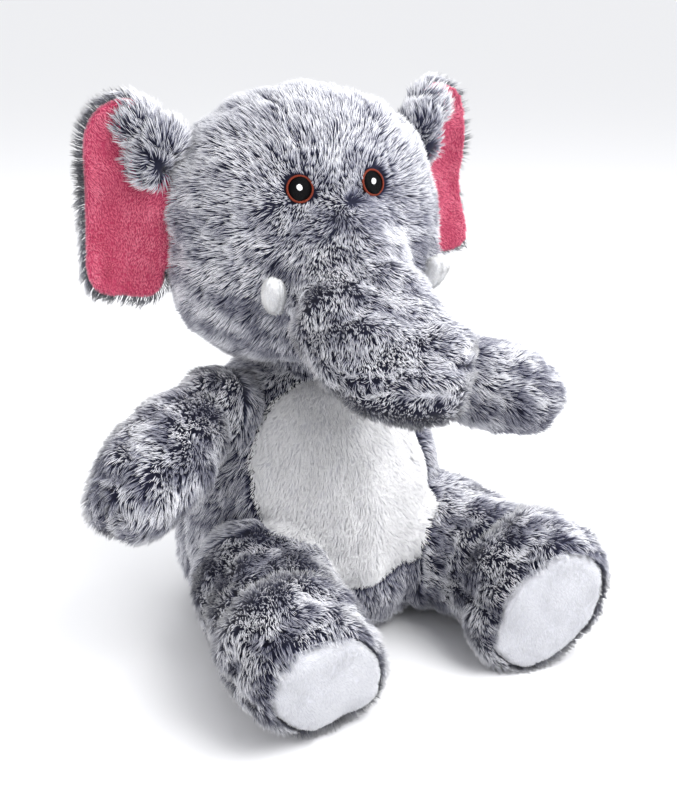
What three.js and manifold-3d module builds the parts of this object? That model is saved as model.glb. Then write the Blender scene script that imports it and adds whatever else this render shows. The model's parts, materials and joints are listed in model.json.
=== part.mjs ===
// A seated plush elephant, in millimetres, +Z up, facing -Y. Its own right side is -X.
// Every sewn piece is a separate closed solid: fur panels are shells as thick as the backing
// and the pile together, cut apart along their seams, and the fibre filling is a solid inside
// them. Head, trunk, ears, limbs and tail turn on round seats, so a piece of filling with a
// ball end sits in a hollow of the same centre in its neighbour.
import * as THREE from "three";
import { mergeVertices } from "three/addons/utils/BufferGeometryUtils.js";
import Module from "manifold-3d";

const { clamp, degToRad, lerp, smoothstep } = THREE.MathUtils;
const wasm = await Module();
wasm.setup();

// ---------- driving dimensions ----------
const SKIN = 5.0; // backing and pile of the long fur
const SHORT_SKIN = 1.6; // short-pile cloth of the soles, tusks and ear linings
const SEAM_GAP = 0.3; // clearance between two sewn pieces
const FILL_GAP = 0.4; // clearance between a skin and its filling
const JOINT_GAP = 1.4; // clearance between a ball end and its seat
const FAR = 400; // larger than the toy in any direction
const UP = new THREE.Vector3(0, 0, 1);
const FORWARD = new THREE.Vector3(0, -1, 0);

const TORSO_DEPTH = 0.97; // front to back size over side to side size
const TORSO_HEIGHT = 143;
const TORSO_LEAN = -4; // the belly swells forward of the neck
const BACK_SEAM_Y = 4; // the side seams stand a little behind the middle
const SEAT_SEAM_Z = 6.4; // the back panel wraps under the seat up to this height
const LABEL = { in: 70.4, out: 88, low: 24, high: 38, thick: 0.8 };
const BELLY = { x: 49, z: 52, centreX: -4, centreZ: 87 }; // half sizes and middle of the white oval
const POUCH = { x: 34, y: 26, z: 15, centreY: 18 }; // pellet pouch behind the middle of the seat

const NECK = new THREE.Vector3(0, -2, 148);
const NECK_BALL = 25;
const NECK_SEAM_DROP = 3.5; // the seam thread circles the neck below its middle

const HEAD = new THREE.Vector3(0, -3, 216);
const HEAD_SIZE = { side: 72, muzzle: 54, brow: 45, back: 58, up: 62.5, down: 68 };
const CHEEK_FULLNESS = 2.9; // 2 is a plain ellipsoid; more fills out the jowls
const CROWN_FULLNESS = 2.3; // the same for the upper half
const GUSSET_HALF = 22; // half width of the strip over the crown
const GUSSET_BOTTOM = 196;

const EYE = { x: 20.5, z: 238.5, patch: 5.8, ringOut: 7.1, ringIn: 6.1, glint: 1.6, inside: -20, reach: 60 };
const FACE_X = -6.5; // the face looks slightly to its own right
const THREAD_RISE = 1.1; // height of satin stitches over the cloth

const TRUNK_BALL = 34.5;
const TRUNK_ROOT = new THREE.Vector3(-2, -37, 198);
const TRUNK_PATH = [
  [-2, -37, 198],
  [-5.5, -63, 186.5],
  [-8.5, -86, 172],
  [-1, -106, 163],
  [14, -123, 167],
];

const TUSK = { x: 42.5, shift: 3, y: -42, z: 181, length: 22, radius: 6.2 }; // the muzzle leans to the left
const TUSK_WAY = new THREE.Vector3(0.35, -0.5, 0.79).normalize();

const EAR_ROOT = { x: 72.5, y: 6, radius: 4.2, bottom: 198, top: 242 };
const EAR = { width: 39, height: 95, bottom: 184, corner: 17, thick: 8, sweep: 25 };
const EAR_RIM = 3.2; // fur border left round the lining

const ARM_BALL = 20;
const ARM_PATHS = {
  right: [[-56, -9, 126], [-80, -22, 121], [-106, -39, 111], [-135, -56, 98]],
  left: [[56, -9, 126], [80, -22, 123], [106, -38, 116], [134, -55, 108]],
};
const ARM_RADIUS = { root: 17.5, paw: 22.5 };
const ARM_FLATNESS = 0.96;
const TOE_STITCH = { offsets: [-5.5, 5.5], width: 1.6, reach: 13, drop: 7 };

const LEG_BALL = 35;
const LEG_PATHS = {
  right: [[-53, -51, 40], [-63, -80, 39], [-69, -109, 37], [-66, -138, 30]],
  left: [[53, -51, 40], [64, -81, 38], [66, -112, 36], [58, -142, 34]],
};
const LEG_RADIUS = 30.5;
const LEG_SEAM_DROP = 4; // the side seams lie this far under the hip's middle
const FOOT = { long: 39.5, short: 28 };
// which way the long side of the oval sole points: the toes turn outwards
const TOES_WAY = { right: [-0.83, -0.31, 0.46], left: [0.55, -0.29, 0.78] };
const SOLE_DEPTH = 5.5; // the sole's seam lies this far behind the end of the foot

const TAIL_ROOT = new THREE.Vector3(0, 60, 26);
const TAIL_BALL = 7;
const TAIL_PATH = [[0, 60, 26], [4, 76, 17], [10, 92, 9], [18, 106, 7]];

// ---------- colours ----------
const GREY_FUR = { color: 0x8d8f9b, roughness: 0.95 };
const WHITE_FUR = { color: 0xe3e5ea, roughness: 0.95 };
const WHITE_CLOTH = { color: 0xebedf2, roughness: 0.9 };
const PINK_CLOTH = { color: 0xd35673, roughness: 0.85 };
const FIBRE = { color: 0xf4f3ee, roughness: 1.0 };
const POUCH_CLOTH = { color: 0xd9d4c6, roughness: 0.95 };
const BLACK_THREAD = { color: 0x15151a, roughness: 0.55 };
const RUST_THREAD = { color: 0x8a3b22, roughness: 0.6 };
const WHITE_THREAD = { color: 0xf2f2f2, roughness: 0.55 };
const GREY_THREAD = { color: 0x6f7079, roughness: 0.7 };
const SATIN = { color: 0xefefef, roughness: 0.45 };

// ---------- solids ----------
function toSolid(geometry) {
  geometry.deleteAttribute("normal");
  geometry.deleteAttribute("uv");
  const merged = mergeVertices(geometry, 1e-4);
  return new wasm.Manifold(
    new wasm.Mesh({
      numProp: 3,
      vertProperties: new Float32Array(merged.attributes.position.array),
      triVerts: new Uint32Array(merged.index.array),
    }),
  );
}

function toGeometry(solid) {
  const mesh = solid.getMesh();
  const geometry = new THREE.BufferGeometry();
  geometry.setAttribute("position", new THREE.BufferAttribute(new Float32Array(mesh.vertProperties), 3));
  geometry.setIndex(new THREE.BufferAttribute(new Uint32Array(mesh.triVerts), 1));
  return geometry;
}

function box(low, high) {
  const size = high.map((value, axis) => value - low[axis]);
  const geometry = new THREE.BoxGeometry(...size);
  geometry.translate(...low.map((value, axis) => value + size[axis] / 2));
  return toSolid(geometry);
}

function ball(centre, radius, around = 14, rings = 8) {
  const geometry = new THREE.SphereGeometry(radius, around, rings);
  geometry.rotateX(Math.PI / 2);
  geometry.translate(centre.x, centre.y, centre.z);
  return toSolid(geometry);
}

// A cylinder along a direction, from a start point.
function rod(start, way, radius, length, around = 16) {
  const geometry = new THREE.CylinderGeometry(radius, radius, length, around);
  geometry.translate(0, length / 2, 0);
  geometry.applyQuaternion(new THREE.Quaternion().setFromUnitVectors(new THREE.Vector3(0, 1, 0), way));
  geometry.translate(start.x, start.y, start.z);
  return toSolid(geometry);
}

// Everything on the far side of a plane through a point, as a large cube.
function beyond(point, way) {
  const geometry = new THREE.BoxGeometry(FAR, FAR, FAR);
  geometry.translate(0, 0, FAR / 2);
  geometry.applyQuaternion(new THREE.Quaternion().setFromUnitVectors(new THREE.Vector3(0, 0, 1), way));
  geometry.translate(point.x, point.y, point.z);
  return toSolid(geometry);
}

// A stuffed tube along a curve: an unbroken sphere whose rings follow the curve. halfSizes gives
// the two half widths at a place from 0 to 1, blunt how square the two ends are.
function stuffedTube({ path, halfSizes, longWay, inset = 0, around = 18, rings = 14, blunt = 3 }) {
  const curve = new THREE.CatmullRomCurve3(path.map((point) => new THREE.Vector3(...point)));
  const length = curve.getLength();
  const geometry = new THREE.SphereGeometry(1, around, rings);
  const positions = geometry.attributes.position;
  const reference = new THREE.Vector3(...longWay);
  for (let index = 0; index < positions.count; index += 1) {
    const height = Math.min(1, Math.max(-1, positions.getY(index)));
    const angle = Math.atan2(positions.getZ(index), positions.getX(index));
    const place = (height + 1) / 2;
    const end = Math.pow(Math.max(0, 1 - Math.pow(Math.abs(2 * place - 1), blunt)), 1 / blunt);
    const wanted = inset / length + place * (1 - (2 * inset) / length);
    const inside = clamp(wanted, 0, 1);
    const tangent = curve.getTangentAt(inside);
    const centre = curve.getPointAt(inside).addScaledVector(tangent, (wanted - inside) * length);
    const side = new THREE.Vector3().crossVectors(reference, tangent).normalize();
    const long = new THREE.Vector3().crossVectors(tangent, side);
    const [longHalf, sideHalf] = halfSizes(inside);
    const point = centre
      .addScaledVector(long, (longHalf - inset) * end * Math.cos(angle))
      .addScaledVector(side, (sideHalf - inset) * end * Math.sin(angle));
    positions.setXYZ(index, point.x, point.y, point.z);
  }
  return toSolid(geometry);
}

const toy = new THREE.Group();

function addPiece(name, solid, look) {
  const mesh = new THREE.Mesh(
    toGeometry(solid),
    new THREE.MeshStandardMaterial({ ...look, metalness: 0 }),
  );
  mesh.name = name;
  toy.add(mesh);
}

const SIDES = [
  { name: "right", sign: -1 },
  { name: "left", sign: 1 },
];

const vector = (point) => new THREE.Vector3(...point);

// ---------- torso ----------
function leanForward(geometry) {
  const positions = geometry.attributes.position;
  for (let index = 0; index < positions.count; index += 1) {
    const share = Math.sin(Math.PI * clamp(positions.getZ(index) / TORSO_HEIGHT, 0, 1));
    positions.setY(index, positions.getY(index) + TORSO_LEAN * share);
  }
}

function torsoBody(inset, inner = false) {
  const outline = new THREE.SplineCurve([
    new THREE.Vector2(47, 0),
    new THREE.Vector2(61, 9),
    new THREE.Vector2(68, 30),
    new THREE.Vector2(69.5, 60),
    new THREE.Vector2(66, 88),
    new THREE.Vector2(55, 114),
    new THREE.Vector2(41, 131),
    new THREE.Vector2(26, TORSO_HEIGHT - 2),
  ]);
  const shrink = (point) => {
    const x = Math.max(0, point.x - inset);
    const y = inset + (point.y * (TORSO_HEIGHT - 2 * inset)) / TORSO_HEIGHT;
    return new THREE.Vector2(x, y);
  };
  const points = outline.getSpacedPoints(inner ? 7 : 9).map(shrink);
  points.unshift(new THREE.Vector2(0, inset));
  points.push(new THREE.Vector2(0, TORSO_HEIGHT - inset));
  const geometry = new THREE.LatheGeometry(points, 20);
  geometry.rotateX(Math.PI / 2);
  geometry.scale(1, TORSO_DEPTH, 1);
  leanForward(geometry);
  return toSolid(geometry);
}

function bellyPrism(grow) {
  const oval = new THREE.Shape();
  oval.absellipse(0, 0, BELLY.x + grow, BELLY.z + grow, 0, 2 * Math.PI);
  const settings = { depth: FAR / 2, bevelEnabled: false, curveSegments: 10 };
  const geometry = new THREE.ExtrudeGeometry(oval, settings);
  geometry.rotateX(Math.PI / 2);
  geometry.translate(BELLY.centreX, 0, BELLY.centreZ);
  return toSolid(geometry);
}

function seats(extra) {
  let cutters = ball(NECK, NECK_BALL + extra).add(ball(TAIL_ROOT, TAIL_BALL + extra, 10, 6));
  for (const { name } of SIDES) {
    cutters = cutters.add(ball(vector(ARM_PATHS[name][0]), ARM_BALL + extra));
    cutters = cutters.add(ball(vector(LEG_PATHS[name][0]), LEG_BALL + extra));
  }
  return cutters;
}

function addTorso() {
  const cutters = seats(JOINT_GAP);
  const skin = torsoBody(0).subtract(torsoBody(SKIN, true)).subtract(cutters);
  const behind = box([-FAR, BACK_SEAM_Y, -FAR], [FAR, FAR, FAR]).add(
    box([-FAR, -FAR, -FAR], [FAR, FAR, SEAT_SEAM_Z - SEAM_GAP]),
  );
  const front = box([-FAR, -FAR, SEAT_SEAM_Z], [FAR, BACK_SEAM_Y - SEAM_GAP, FAR]);
  addPiece("torso_back_panel", skin.intersect(behind), GREY_FUR);
  addPiece("belly_panel", skin.intersect(front).intersect(bellyPrism(0)), WHITE_FUR);
  const frontSkin = skin.intersect(front).subtract(bellyPrism(SEAM_GAP));
  const half = SEAM_GAP / 2;
  addPiece("torso_front_right", frontSkin.subtract(box([-half, -FAR, -FAR], [FAR, FAR, FAR])), GREY_FUR);
  addPiece("torso_front_left", frontSkin.subtract(box([-FAR, -FAR, -FAR], [half, FAR, FAR])), GREY_FUR);

  const pouchShape = (grow) => {
    const geometry = new THREE.SphereGeometry(1, 12, 8);
    geometry.scale(POUCH.x + grow, POUCH.y + grow, POUCH.z + grow);
    geometry.translate(0, POUCH.centreY, SKIN + FILL_GAP + POUCH.z * 0.6);
    return toSolid(geometry);
  };
  const floor = SKIN + FILL_GAP;
  const aboveSeat = box([-FAR, -FAR, floor], [FAR, FAR, FAR]);
  addPiece("pellet_pouch", pouchShape(0).intersect(aboveSeat), POUCH_CLOTH);
  const filling = torsoBody(SKIN + FILL_GAP, true).subtract(cutters).subtract(pouchShape(FILL_GAP));
  addPiece("torso_stuffing", filling, FIBRE);
}

addTorso();

// The ladder stitch that closes the left side seam after filling.
function addClosingSeam() {
  const rind = torsoBody(-SEAM_GAP - THREAD_RISE).subtract(torsoBody(-SEAM_GAP));
  const strip = box([0, BACK_SEAM_Y - 1, 56], [FAR, BACK_SEAM_Y + 0.8, 96]);
  addPiece("closing_seam_thread", rind.intersect(strip), GREY_THREAD);
}

addClosingSeam();

// A blank cloth tab caught in the left side seam.
const labelLow = [LABEL.in, BACK_SEAM_Y, LABEL.low];
const labelHigh = [LABEL.out, BACK_SEAM_Y + LABEL.thick, LABEL.high];
addPiece("side_seam_label", box(labelLow, labelHigh), SATIN);

// ---------- neck ----------
addPiece("neck_stuffing", ball(NECK, NECK_BALL), FIBRE);

function addNeckSeam() {
  const geometry = new THREE.TorusGeometry(NECK_BALL + 1.5, 0.8, 5, 18);
  geometry.translate(NECK.x, NECK.y, NECK.z - NECK_SEAM_DROP);
  addPiece("neck_seam_thread", toSolid(geometry), GREY_THREAD);
}

addNeckSeam();

// ---------- head ----------
function headBody(inset, around = 20, rings = 13) {
  const geometry = new THREE.SphereGeometry(1, around, rings);
  geometry.rotateX(Math.PI / 2);
  const positions = geometry.attributes.position;
  for (let index = 0; index < positions.count; index += 1) {
    const height = clamp(positions.getZ(index), -1, 1);
    const round = Math.sqrt(Math.max(1e-9, 1 - height * height));
    const fullness = height < 0 ? CHEEK_FULLNESS : CROWN_FULLNESS;
    const swell = Math.pow(1 - Math.pow(Math.abs(height), fullness), 1 / fullness) / round;
    const raised = smoothstep(height, -0.3, 0.3);
    const front = lerp(HEAD_SIZE.muzzle, HEAD_SIZE.brow, raised);
    const depth = positions.getY(index) < 0 ? front : HEAD_SIZE.back;
    const x = positions.getX(index) * swell * (HEAD_SIZE.side - inset);
    const y = positions.getY(index) * swell * (depth - inset);
    const z = height * ((height > 0 ? HEAD_SIZE.up : HEAD_SIZE.down) - inset);
    positions.setXYZ(index, HEAD.x + x, HEAD.y + y, HEAD.z + z);
  }
  return toSolid(geometry);
}

function earGrooves() {
  const length = EAR_ROOT.top - EAR_ROOT.bottom + 4;
  const grooves = SIDES.map(({ sign }) => {
    const start = new THREE.Vector3(sign * EAR_ROOT.x, EAR_ROOT.y, EAR_ROOT.bottom - 2);
    return rod(start, UP, EAR_ROOT.radius + JOINT_GAP, length, 12);
  });
  return grooves[0].add(grooves[1]);
}

function tuskShape(sign, grow, sink = 0) {
  const way = TUSK_WAY.clone();
  way.x *= sign;
  const root = new THREE.Vector3(sign * TUSK.x + TUSK.shift, TUSK.y, TUSK.z).addScaledVector(way, -sink);
  const tip = root.clone().addScaledVector(way, TUSK.length + sink);
  const middle = root.clone().lerp(tip, 0.5);
  return stuffedTube({
    path: [root.toArray(), middle.toArray(), tip.toArray()],
    halfSizes: () => [TUSK.radius + grow, TUSK.radius * 0.9 + grow],
    longWay: [0, 0, 1],
    inset: 0,
    around: 10,
    rings: 7,
    blunt: 2.6,
  });
}

function addHead() {
  const cutters = ball(NECK, NECK_BALL + JOINT_GAP).add(ball(TRUNK_ROOT, TRUNK_BALL + JOINT_GAP));
  let skin = headBody(0).subtract(headBody(SKIN, 16, 10)).subtract(cutters).subtract(earGrooves());
  for (const { sign } of SIDES) {
    skin = skin.subtract(tuskShape(sign, SEAM_GAP, 0.4));
  }
  const gusset = (grow) =>
    box([-GUSSET_HALF - grow, -FAR, GUSSET_BOTTOM - grow], [GUSSET_HALF + grow, FAR, FAR]);
  addPiece("head_gusset", skin.intersect(gusset(0)), GREY_FUR);
  const half = SEAM_GAP / 2;
  const sides = skin.subtract(gusset(SEAM_GAP));
  addPiece("head_side_right", sides.subtract(box([-half, -FAR, -FAR], [FAR, FAR, FAR])), GREY_FUR);
  addPiece("head_side_left", sides.subtract(box([-FAR, -FAR, -FAR], [half, FAR, FAR])), GREY_FUR);
  let filling = headBody(SKIN + FILL_GAP, 16, 10).subtract(cutters);
  for (const { sign } of SIDES) {
    filling = filling.subtract(tuskShape(sign, SEAM_GAP, 0.4));
  }
  addPiece("head_stuffing", filling, FIBRE);
}

addHead();

// ---------- eyes: satin stitches over the fur ----------
function addEyes() {
  const stitches = headBody(-SEAM_GAP - THREAD_RISE).subtract(headBody(-SEAM_GAP));
  for (const { name, sign } of SIDES) {
    const start = new THREE.Vector3(FACE_X + sign * EYE.x, EYE.inside, EYE.z);
    const disc = (radius) => rod(start, FORWARD, radius, EYE.reach, 14);
    const glintStart = start.clone().add(new THREE.Vector3(sign * -0.5, 0, 0.8));
    const glint = (radius) => rod(glintStart, FORWARD, radius, EYE.reach, 8);
    const ring = disc(EYE.ringOut).subtract(disc(EYE.ringIn));
    const patch = stitches.intersect(disc(EYE.patch)).subtract(glint(EYE.glint + 0.2));
    addPiece(`eye_patch_${name}`, patch, BLACK_THREAD);
    addPiece(`eye_outline_${name}`, stitches.intersect(ring), RUST_THREAD);
    addPiece(`eye_highlight_${name}`, stitches.intersect(glint(EYE.glint)), WHITE_THREAD);
  }
}

addEyes();

// ---------- tusks ----------
for (const { name, sign } of SIDES) {
  const way = TUSK_WAY.clone();
  way.x *= sign;
  const root = new THREE.Vector3(sign * TUSK.x + TUSK.shift, TUSK.y, TUSK.z).addScaledVector(way, 1.5);
  const open = beyond(root, way);
  const core = tuskShape(sign, -SHORT_SKIN);
  addPiece(`tusk_skin_${name}`, tuskShape(sign, 0).subtract(core).intersect(open), WHITE_CLOTH);
  addPiece(`tusk_stuffing_${name}`, tuskShape(sign, -SHORT_SKIN - FILL_GAP).intersect(open), FIBRE);
}

// ---------- trunk ----------
const trunkSizes = (place) => {
  const wide = lerp(32, 39, smoothstep(place, 0.1, 0.8));
  const thick = lerp(27, 17, Math.min(1, place * 1.3));
  return [thick, wide];
};

function addTrunk() {
  const shape = (inset, around, rings) =>
    stuffedTube({
      path: TRUNK_PATH,
      halfSizes: trunkSizes,
      longWay: [0, -0.45, 0.9],
      inset,
      around,
      rings,
      blunt: 3,
    });
  const root = ball(TRUNK_ROOT, TRUNK_BALL);
  const outside = ball(TRUNK_ROOT, TRUNK_BALL + SEAM_GAP);
  const skin = shape(0, 16, 11).subtract(shape(SKIN, 12, 9)).subtract(outside);
  const half = SEAM_GAP / 2;
  addPiece("trunk_top_panel", skin.intersect(aboveTrunkSeam(half)), GREY_FUR);
  addPiece("trunk_underside_panel", skin.subtract(aboveTrunkSeam(-half)), GREY_FUR);
  const away = beyond(TRUNK_ROOT, vector(TRUNK_PATH[1]).sub(TRUNK_ROOT).normalize());
  const inner = shape(SKIN + FILL_GAP, 12, 9).intersect(away);
  addPiece("trunk_stuffing", inner.add(root), FIBRE);
}

// The space above the seam that runs round the trunk's rim: it follows the trunk's centre line.
function aboveTrunkSeam(lift) {
  const curve = new THREE.CatmullRomCurve3(TRUNK_PATH.map(vector));
  const steps = 10;
  const outline = new THREE.Shape();
  const addPoint = (place, ahead) => {
    const point = curve.getPoint(place);
    const tangent = curve.getTangent(place);
    point.addScaledVector(tangent, ahead);
    outline.lineTo(point.y + lift * tangent.z, point.z - lift * tangent.y);
  };
  outline.moveTo(FAR, FAR);
  addPoint(0, -FAR / 2);
  for (let step = 0; step <= steps; step += 1) {
    addPoint(step / steps, 0);
  }
  addPoint(1, FAR / 4);
  const geometry = new THREE.ExtrudeGeometry(outline, { depth: FAR, bevelEnabled: false });
  geometry.translate(0, 0, -FAR / 2);
  geometry.applyMatrix4(new THREE.Matrix4().set(0, 0, 1, 0, 1, 0, 0, 0, 0, 1, 0, 0, 0, 0, 0, 1));
  return toSolid(geometry);
}

addTrunk();

// ---------- ears ----------
// An ear is drawn flat: x runs out from the root, y up, and z towards the lining.
function earOutline(inset) {
  const low = EAR.bottom + inset;
  const high = EAR.bottom + EAR.height - inset;
  const near = EAR_ROOT.radius - 1 + inset * 0.6;
  const far = EAR.width - inset;
  const corner = EAR.corner - inset;
  const outline = new THREE.Shape();
  outline.moveTo(near + corner * 0.6, low);
  outline.lineTo(far - corner, low + 2);
  outline.quadraticCurveTo(far, low + 2, far, low + 2 + corner);
  outline.lineTo(far - 2, high - corner * 1.3);
  outline.quadraticCurveTo(far - 3, high, far - corner * 1.4, high);
  outline.lineTo(near + corner * 0.5, high - 3);
  outline.quadraticCurveTo(near, high - 5, near, high - corner * 1.2);
  outline.lineTo(near, low + corner * 0.8);
  outline.quadraticCurveTo(near, low, near + corner * 0.6, low);
  return outline;
}

function earPlate(inset, front, depth) {
  const settings = { depth, bevelEnabled: false, curveSegments: 5 };
  const geometry = new THREE.ExtrudeGeometry(earOutline(inset), settings);
  geometry.translate(0, 0, front - depth);
  return toSolid(geometry);
}

// Stands a flat ear up at its root on one side of the head.
function standEar(solid, sign) {
  const sweep = degToRad(EAR.sweep);
  const out = new THREE.Vector3(sign * Math.cos(sweep), Math.sin(sweep), 0);
  const facing = new THREE.Vector3(sign * Math.sin(sweep), -Math.cos(sweep), 0);
  const place = new THREE.Matrix4().makeBasis(out, UP, facing);
  place.setPosition(sign * EAR_ROOT.x, EAR_ROOT.y, 0);
  const geometry = toGeometry(solid);
  geometry.applyMatrix4(place);
  if (place.determinant() < 0) {
    const triangles = geometry.index.array;
    for (let corner = 0; corner < triangles.length; corner += 3) {
      [triangles[corner], triangles[corner + 1]] = [triangles[corner + 1], triangles[corner]];
    }
  }
  return toSolid(geometry);
}

function addEars() {
  const front = EAR.thick / 2;
  const lining = earPlate(EAR_RIM + SEAM_GAP, front - 0.6, SHORT_SKIN);
  const batting = earPlate(EAR_RIM + SEAM_GAP, front - 0.6 - SHORT_SKIN - SEAM_GAP, 1.6);
  const pocket = earPlate(EAR_RIM, front + 1, 5.4);
  const length = EAR_ROOT.top - EAR_ROOT.bottom;
  for (const { name, sign } of SIDES) {
    const back = standEar(earPlate(0, front, EAR.thick).subtract(pocket), sign);
    const start = new THREE.Vector3(sign * EAR_ROOT.x, EAR_ROOT.y, EAR_ROOT.bottom);
    const root = rod(start, UP, EAR_ROOT.radius, length, 12);
    addPiece(`ear_back_${name}`, back.add(root), GREY_FUR);
    addPiece(`ear_lining_${name}`, standEar(lining, sign).subtract(root), PINK_CLOTH);
    addPiece(`ear_batting_${name}`, standEar(batting, sign).subtract(root), FIBRE);
  }
}

addEars();

// ---------- arms ----------
function addArm(name) {
  const path = ARM_PATHS[name];
  const sizes = (place) => {
    const radius = lerp(ARM_RADIUS.root, ARM_RADIUS.paw, smoothstep(place, 0, 0.6));
    return [radius, radius * ARM_FLATNESS];
  };
  const shape = (inset, around = 14, rings = 10) =>
    stuffedTube({ path, halfSizes: sizes, longWay: [0, 0, 1], inset, around, rings, blunt: 2.7 });
  const centre = vector(path[0]);
  const way = vector(path[1]).sub(centre).normalize();
  const trim = ball(centre, ARM_BALL + SEAM_GAP);
  const away = beyond(centre, way);
  const skin = shape(0).subtract(shape(SKIN, 10, 8)).subtract(trim).intersect(away);
  const seamWay = new THREE.Vector3().crossVectors(way, UP).normalize();
  seamWay.multiplyScalar(Math.sign(seamWay.y));
  const half = SEAM_GAP / 2;
  const middle = vector(path[2]);
  const innerHalf = beyond(middle.clone().addScaledVector(seamWay, half), seamWay);
  const outerWay = seamWay.clone().negate();
  const outerHalf = beyond(middle.clone().addScaledVector(outerWay, half), outerWay);
  addPiece(`arm_front_panel_${name}`, skin.intersect(outerHalf), GREY_FUR);
  addPiece(`arm_back_panel_${name}`, skin.intersect(innerHalf), GREY_FUR);
  const filling = shape(SKIN + FILL_GAP, 10, 8).intersect(away).add(ball(centre, ARM_BALL));
  addPiece(`arm_stuffing_${name}`, filling, FIBRE);

  const rind = shape(-SEAM_GAP - THREAD_RISE).subtract(shape(-SEAM_GAP));
  const end = vector(path[3]);
  const endWay = end.clone().sub(middle).normalize();
  const nearEnd = beyond(end.clone().addScaledVector(endWay, -TOE_STITCH.reach), endWay);
  const upperPart = beyond(end.clone().addScaledVector(UP, -TOE_STITCH.drop), UP);
  const across = new THREE.Vector3().crossVectors(endWay, UP).normalize();
  TOE_STITCH.offsets.forEach((offset, index) => {
    const near = end.clone().addScaledVector(across, offset - TOE_STITCH.width / 2);
    const far = end.clone().addScaledVector(across, offset + TOE_STITCH.width / 2);
    const slab = beyond(near, across).subtract(beyond(far, across));
    const stitch = rind.intersect(slab).intersect(nearEnd).intersect(upperPart);
    addPiece(`toe_stitch_${name}_${index + 1}`, stitch, GREY_THREAD);
  });
}

SIDES.forEach(({ name }) => addArm(name));

// ---------- legs ----------
function addLeg(name) {
  const path = LEG_PATHS[name];
  const sizes = (place) => {
    const foot = smoothstep(place, 0.35, 0.9);
    const long = lerp(LEG_RADIUS, FOOT.long, foot);
    return [long, lerp(LEG_RADIUS, FOOT.short, foot)];
  };
  const longWay = TOES_WAY[name];
  const shape = (inset, around = 14, rings = 10) =>
    stuffedTube({ path, halfSizes: sizes, longWay, inset, around, rings, blunt: 7 });
  const centre = vector(path[0]);
  const way = vector(path[1]).sub(centre).normalize();
  const trim = ball(centre, LEG_BALL + SEAM_GAP);
  const away = beyond(centre, way);
  const skin = shape(0).subtract(shape(SKIN, 12, 8)).subtract(trim).intersect(away);
  const end = vector(path[3]);
  const endWay = end.clone().sub(vector(path[2])).normalize();
  const seamPoint = end.clone().addScaledVector(endWay, -SOLE_DEPTH);
  const solePart = beyond(seamPoint, endWay);
  const legPart = beyond(seamPoint.clone().addScaledVector(endWay, -SEAM_GAP), endWay.clone().negate());
  addPiece(`sole_${name}`, skin.intersect(solePart), WHITE_CLOTH);
  const tube = skin.intersect(legPart);
  const half = SEAM_GAP / 2;
  const seamHeight = new THREE.Vector3(0, 0, centre.z - LEG_SEAM_DROP);
  const upper = beyond(seamHeight.clone().addScaledVector(UP, half), UP);
  const lower = beyond(seamHeight.clone().addScaledVector(UP, -half), UP.clone().negate());
  addPiece(`leg_upper_panel_${name}`, tube.intersect(upper), GREY_FUR);
  addPiece(`leg_lower_panel_${name}`, tube.intersect(lower), GREY_FUR);
  const filling = shape(SKIN + FILL_GAP, 12, 8).intersect(away).add(ball(centre, LEG_BALL));
  addPiece(`leg_stuffing_${name}`, filling, FIBRE);
}

SIDES.forEach(({ name }) => addLeg(name));

// ---------- tail ----------
function addTail() {
  const shape = (inset) =>
    stuffedTube({
      path: TAIL_PATH,
      halfSizes: (place) => [6 + 1.5 * place, 6 + 1.5 * place],
      longWay: [0, 0, 1],
      inset,
      around: 10,
      rings: 9,
      blunt: 3,
    });
  const way = vector(TAIL_PATH[1]).sub(TAIL_ROOT).normalize();
  const tuftStart = vector(TAIL_PATH[2]);
  const tuftWay = vector(TAIL_PATH[3]).sub(tuftStart).normalize();
  const away = beyond(TAIL_ROOT, way);
  const trim = ball(TAIL_ROOT, TAIL_BALL + SEAM_GAP, 10, 6);
  const tuft = beyond(tuftStart, tuftWay);
  const beforeTuft = beyond(tuftStart.clone().addScaledVector(tuftWay, -SEAM_GAP), tuftWay.clone().negate());
  const tube = shape(0).intersect(away).subtract(trim);
  addPiece("tail_fur", tube.intersect(beforeTuft), GREY_FUR);
  addPiece("tail_root_stuffing", ball(TAIL_ROOT, TAIL_BALL, 10, 6), FIBRE);
  addPiece("tail_tuft", tube.intersect(tuft), GREY_FUR);
}

addTail();

// The origin lies on the ground under the middle of the toy's box.
const bounds = new THREE.Box3().setFromObject(toy);
toy.position.set(-(bounds.min.x + bounds.max.x) / 2, -(bounds.min.y + bounds.max.y) / 2, -bounds.min.z);

export default toy;
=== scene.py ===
"""Looks of a seated plush elephant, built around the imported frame.

One closed cloth skin is remeshed round the sewn pieces, and the pile grows from it as real
strands, combed and clumped piece by piece, so that dark roots show where the pile parts.
Everything is in metres, +Z up, facing -Y; the toy's own right side is -X.
"""

import json
import math
from dataclasses import dataclass

import bmesh
import bpy
import numpy as np
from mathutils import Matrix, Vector
from mathutils.bvhtree import BVHTree
from mathutils.kdtree import KDTree


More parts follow.
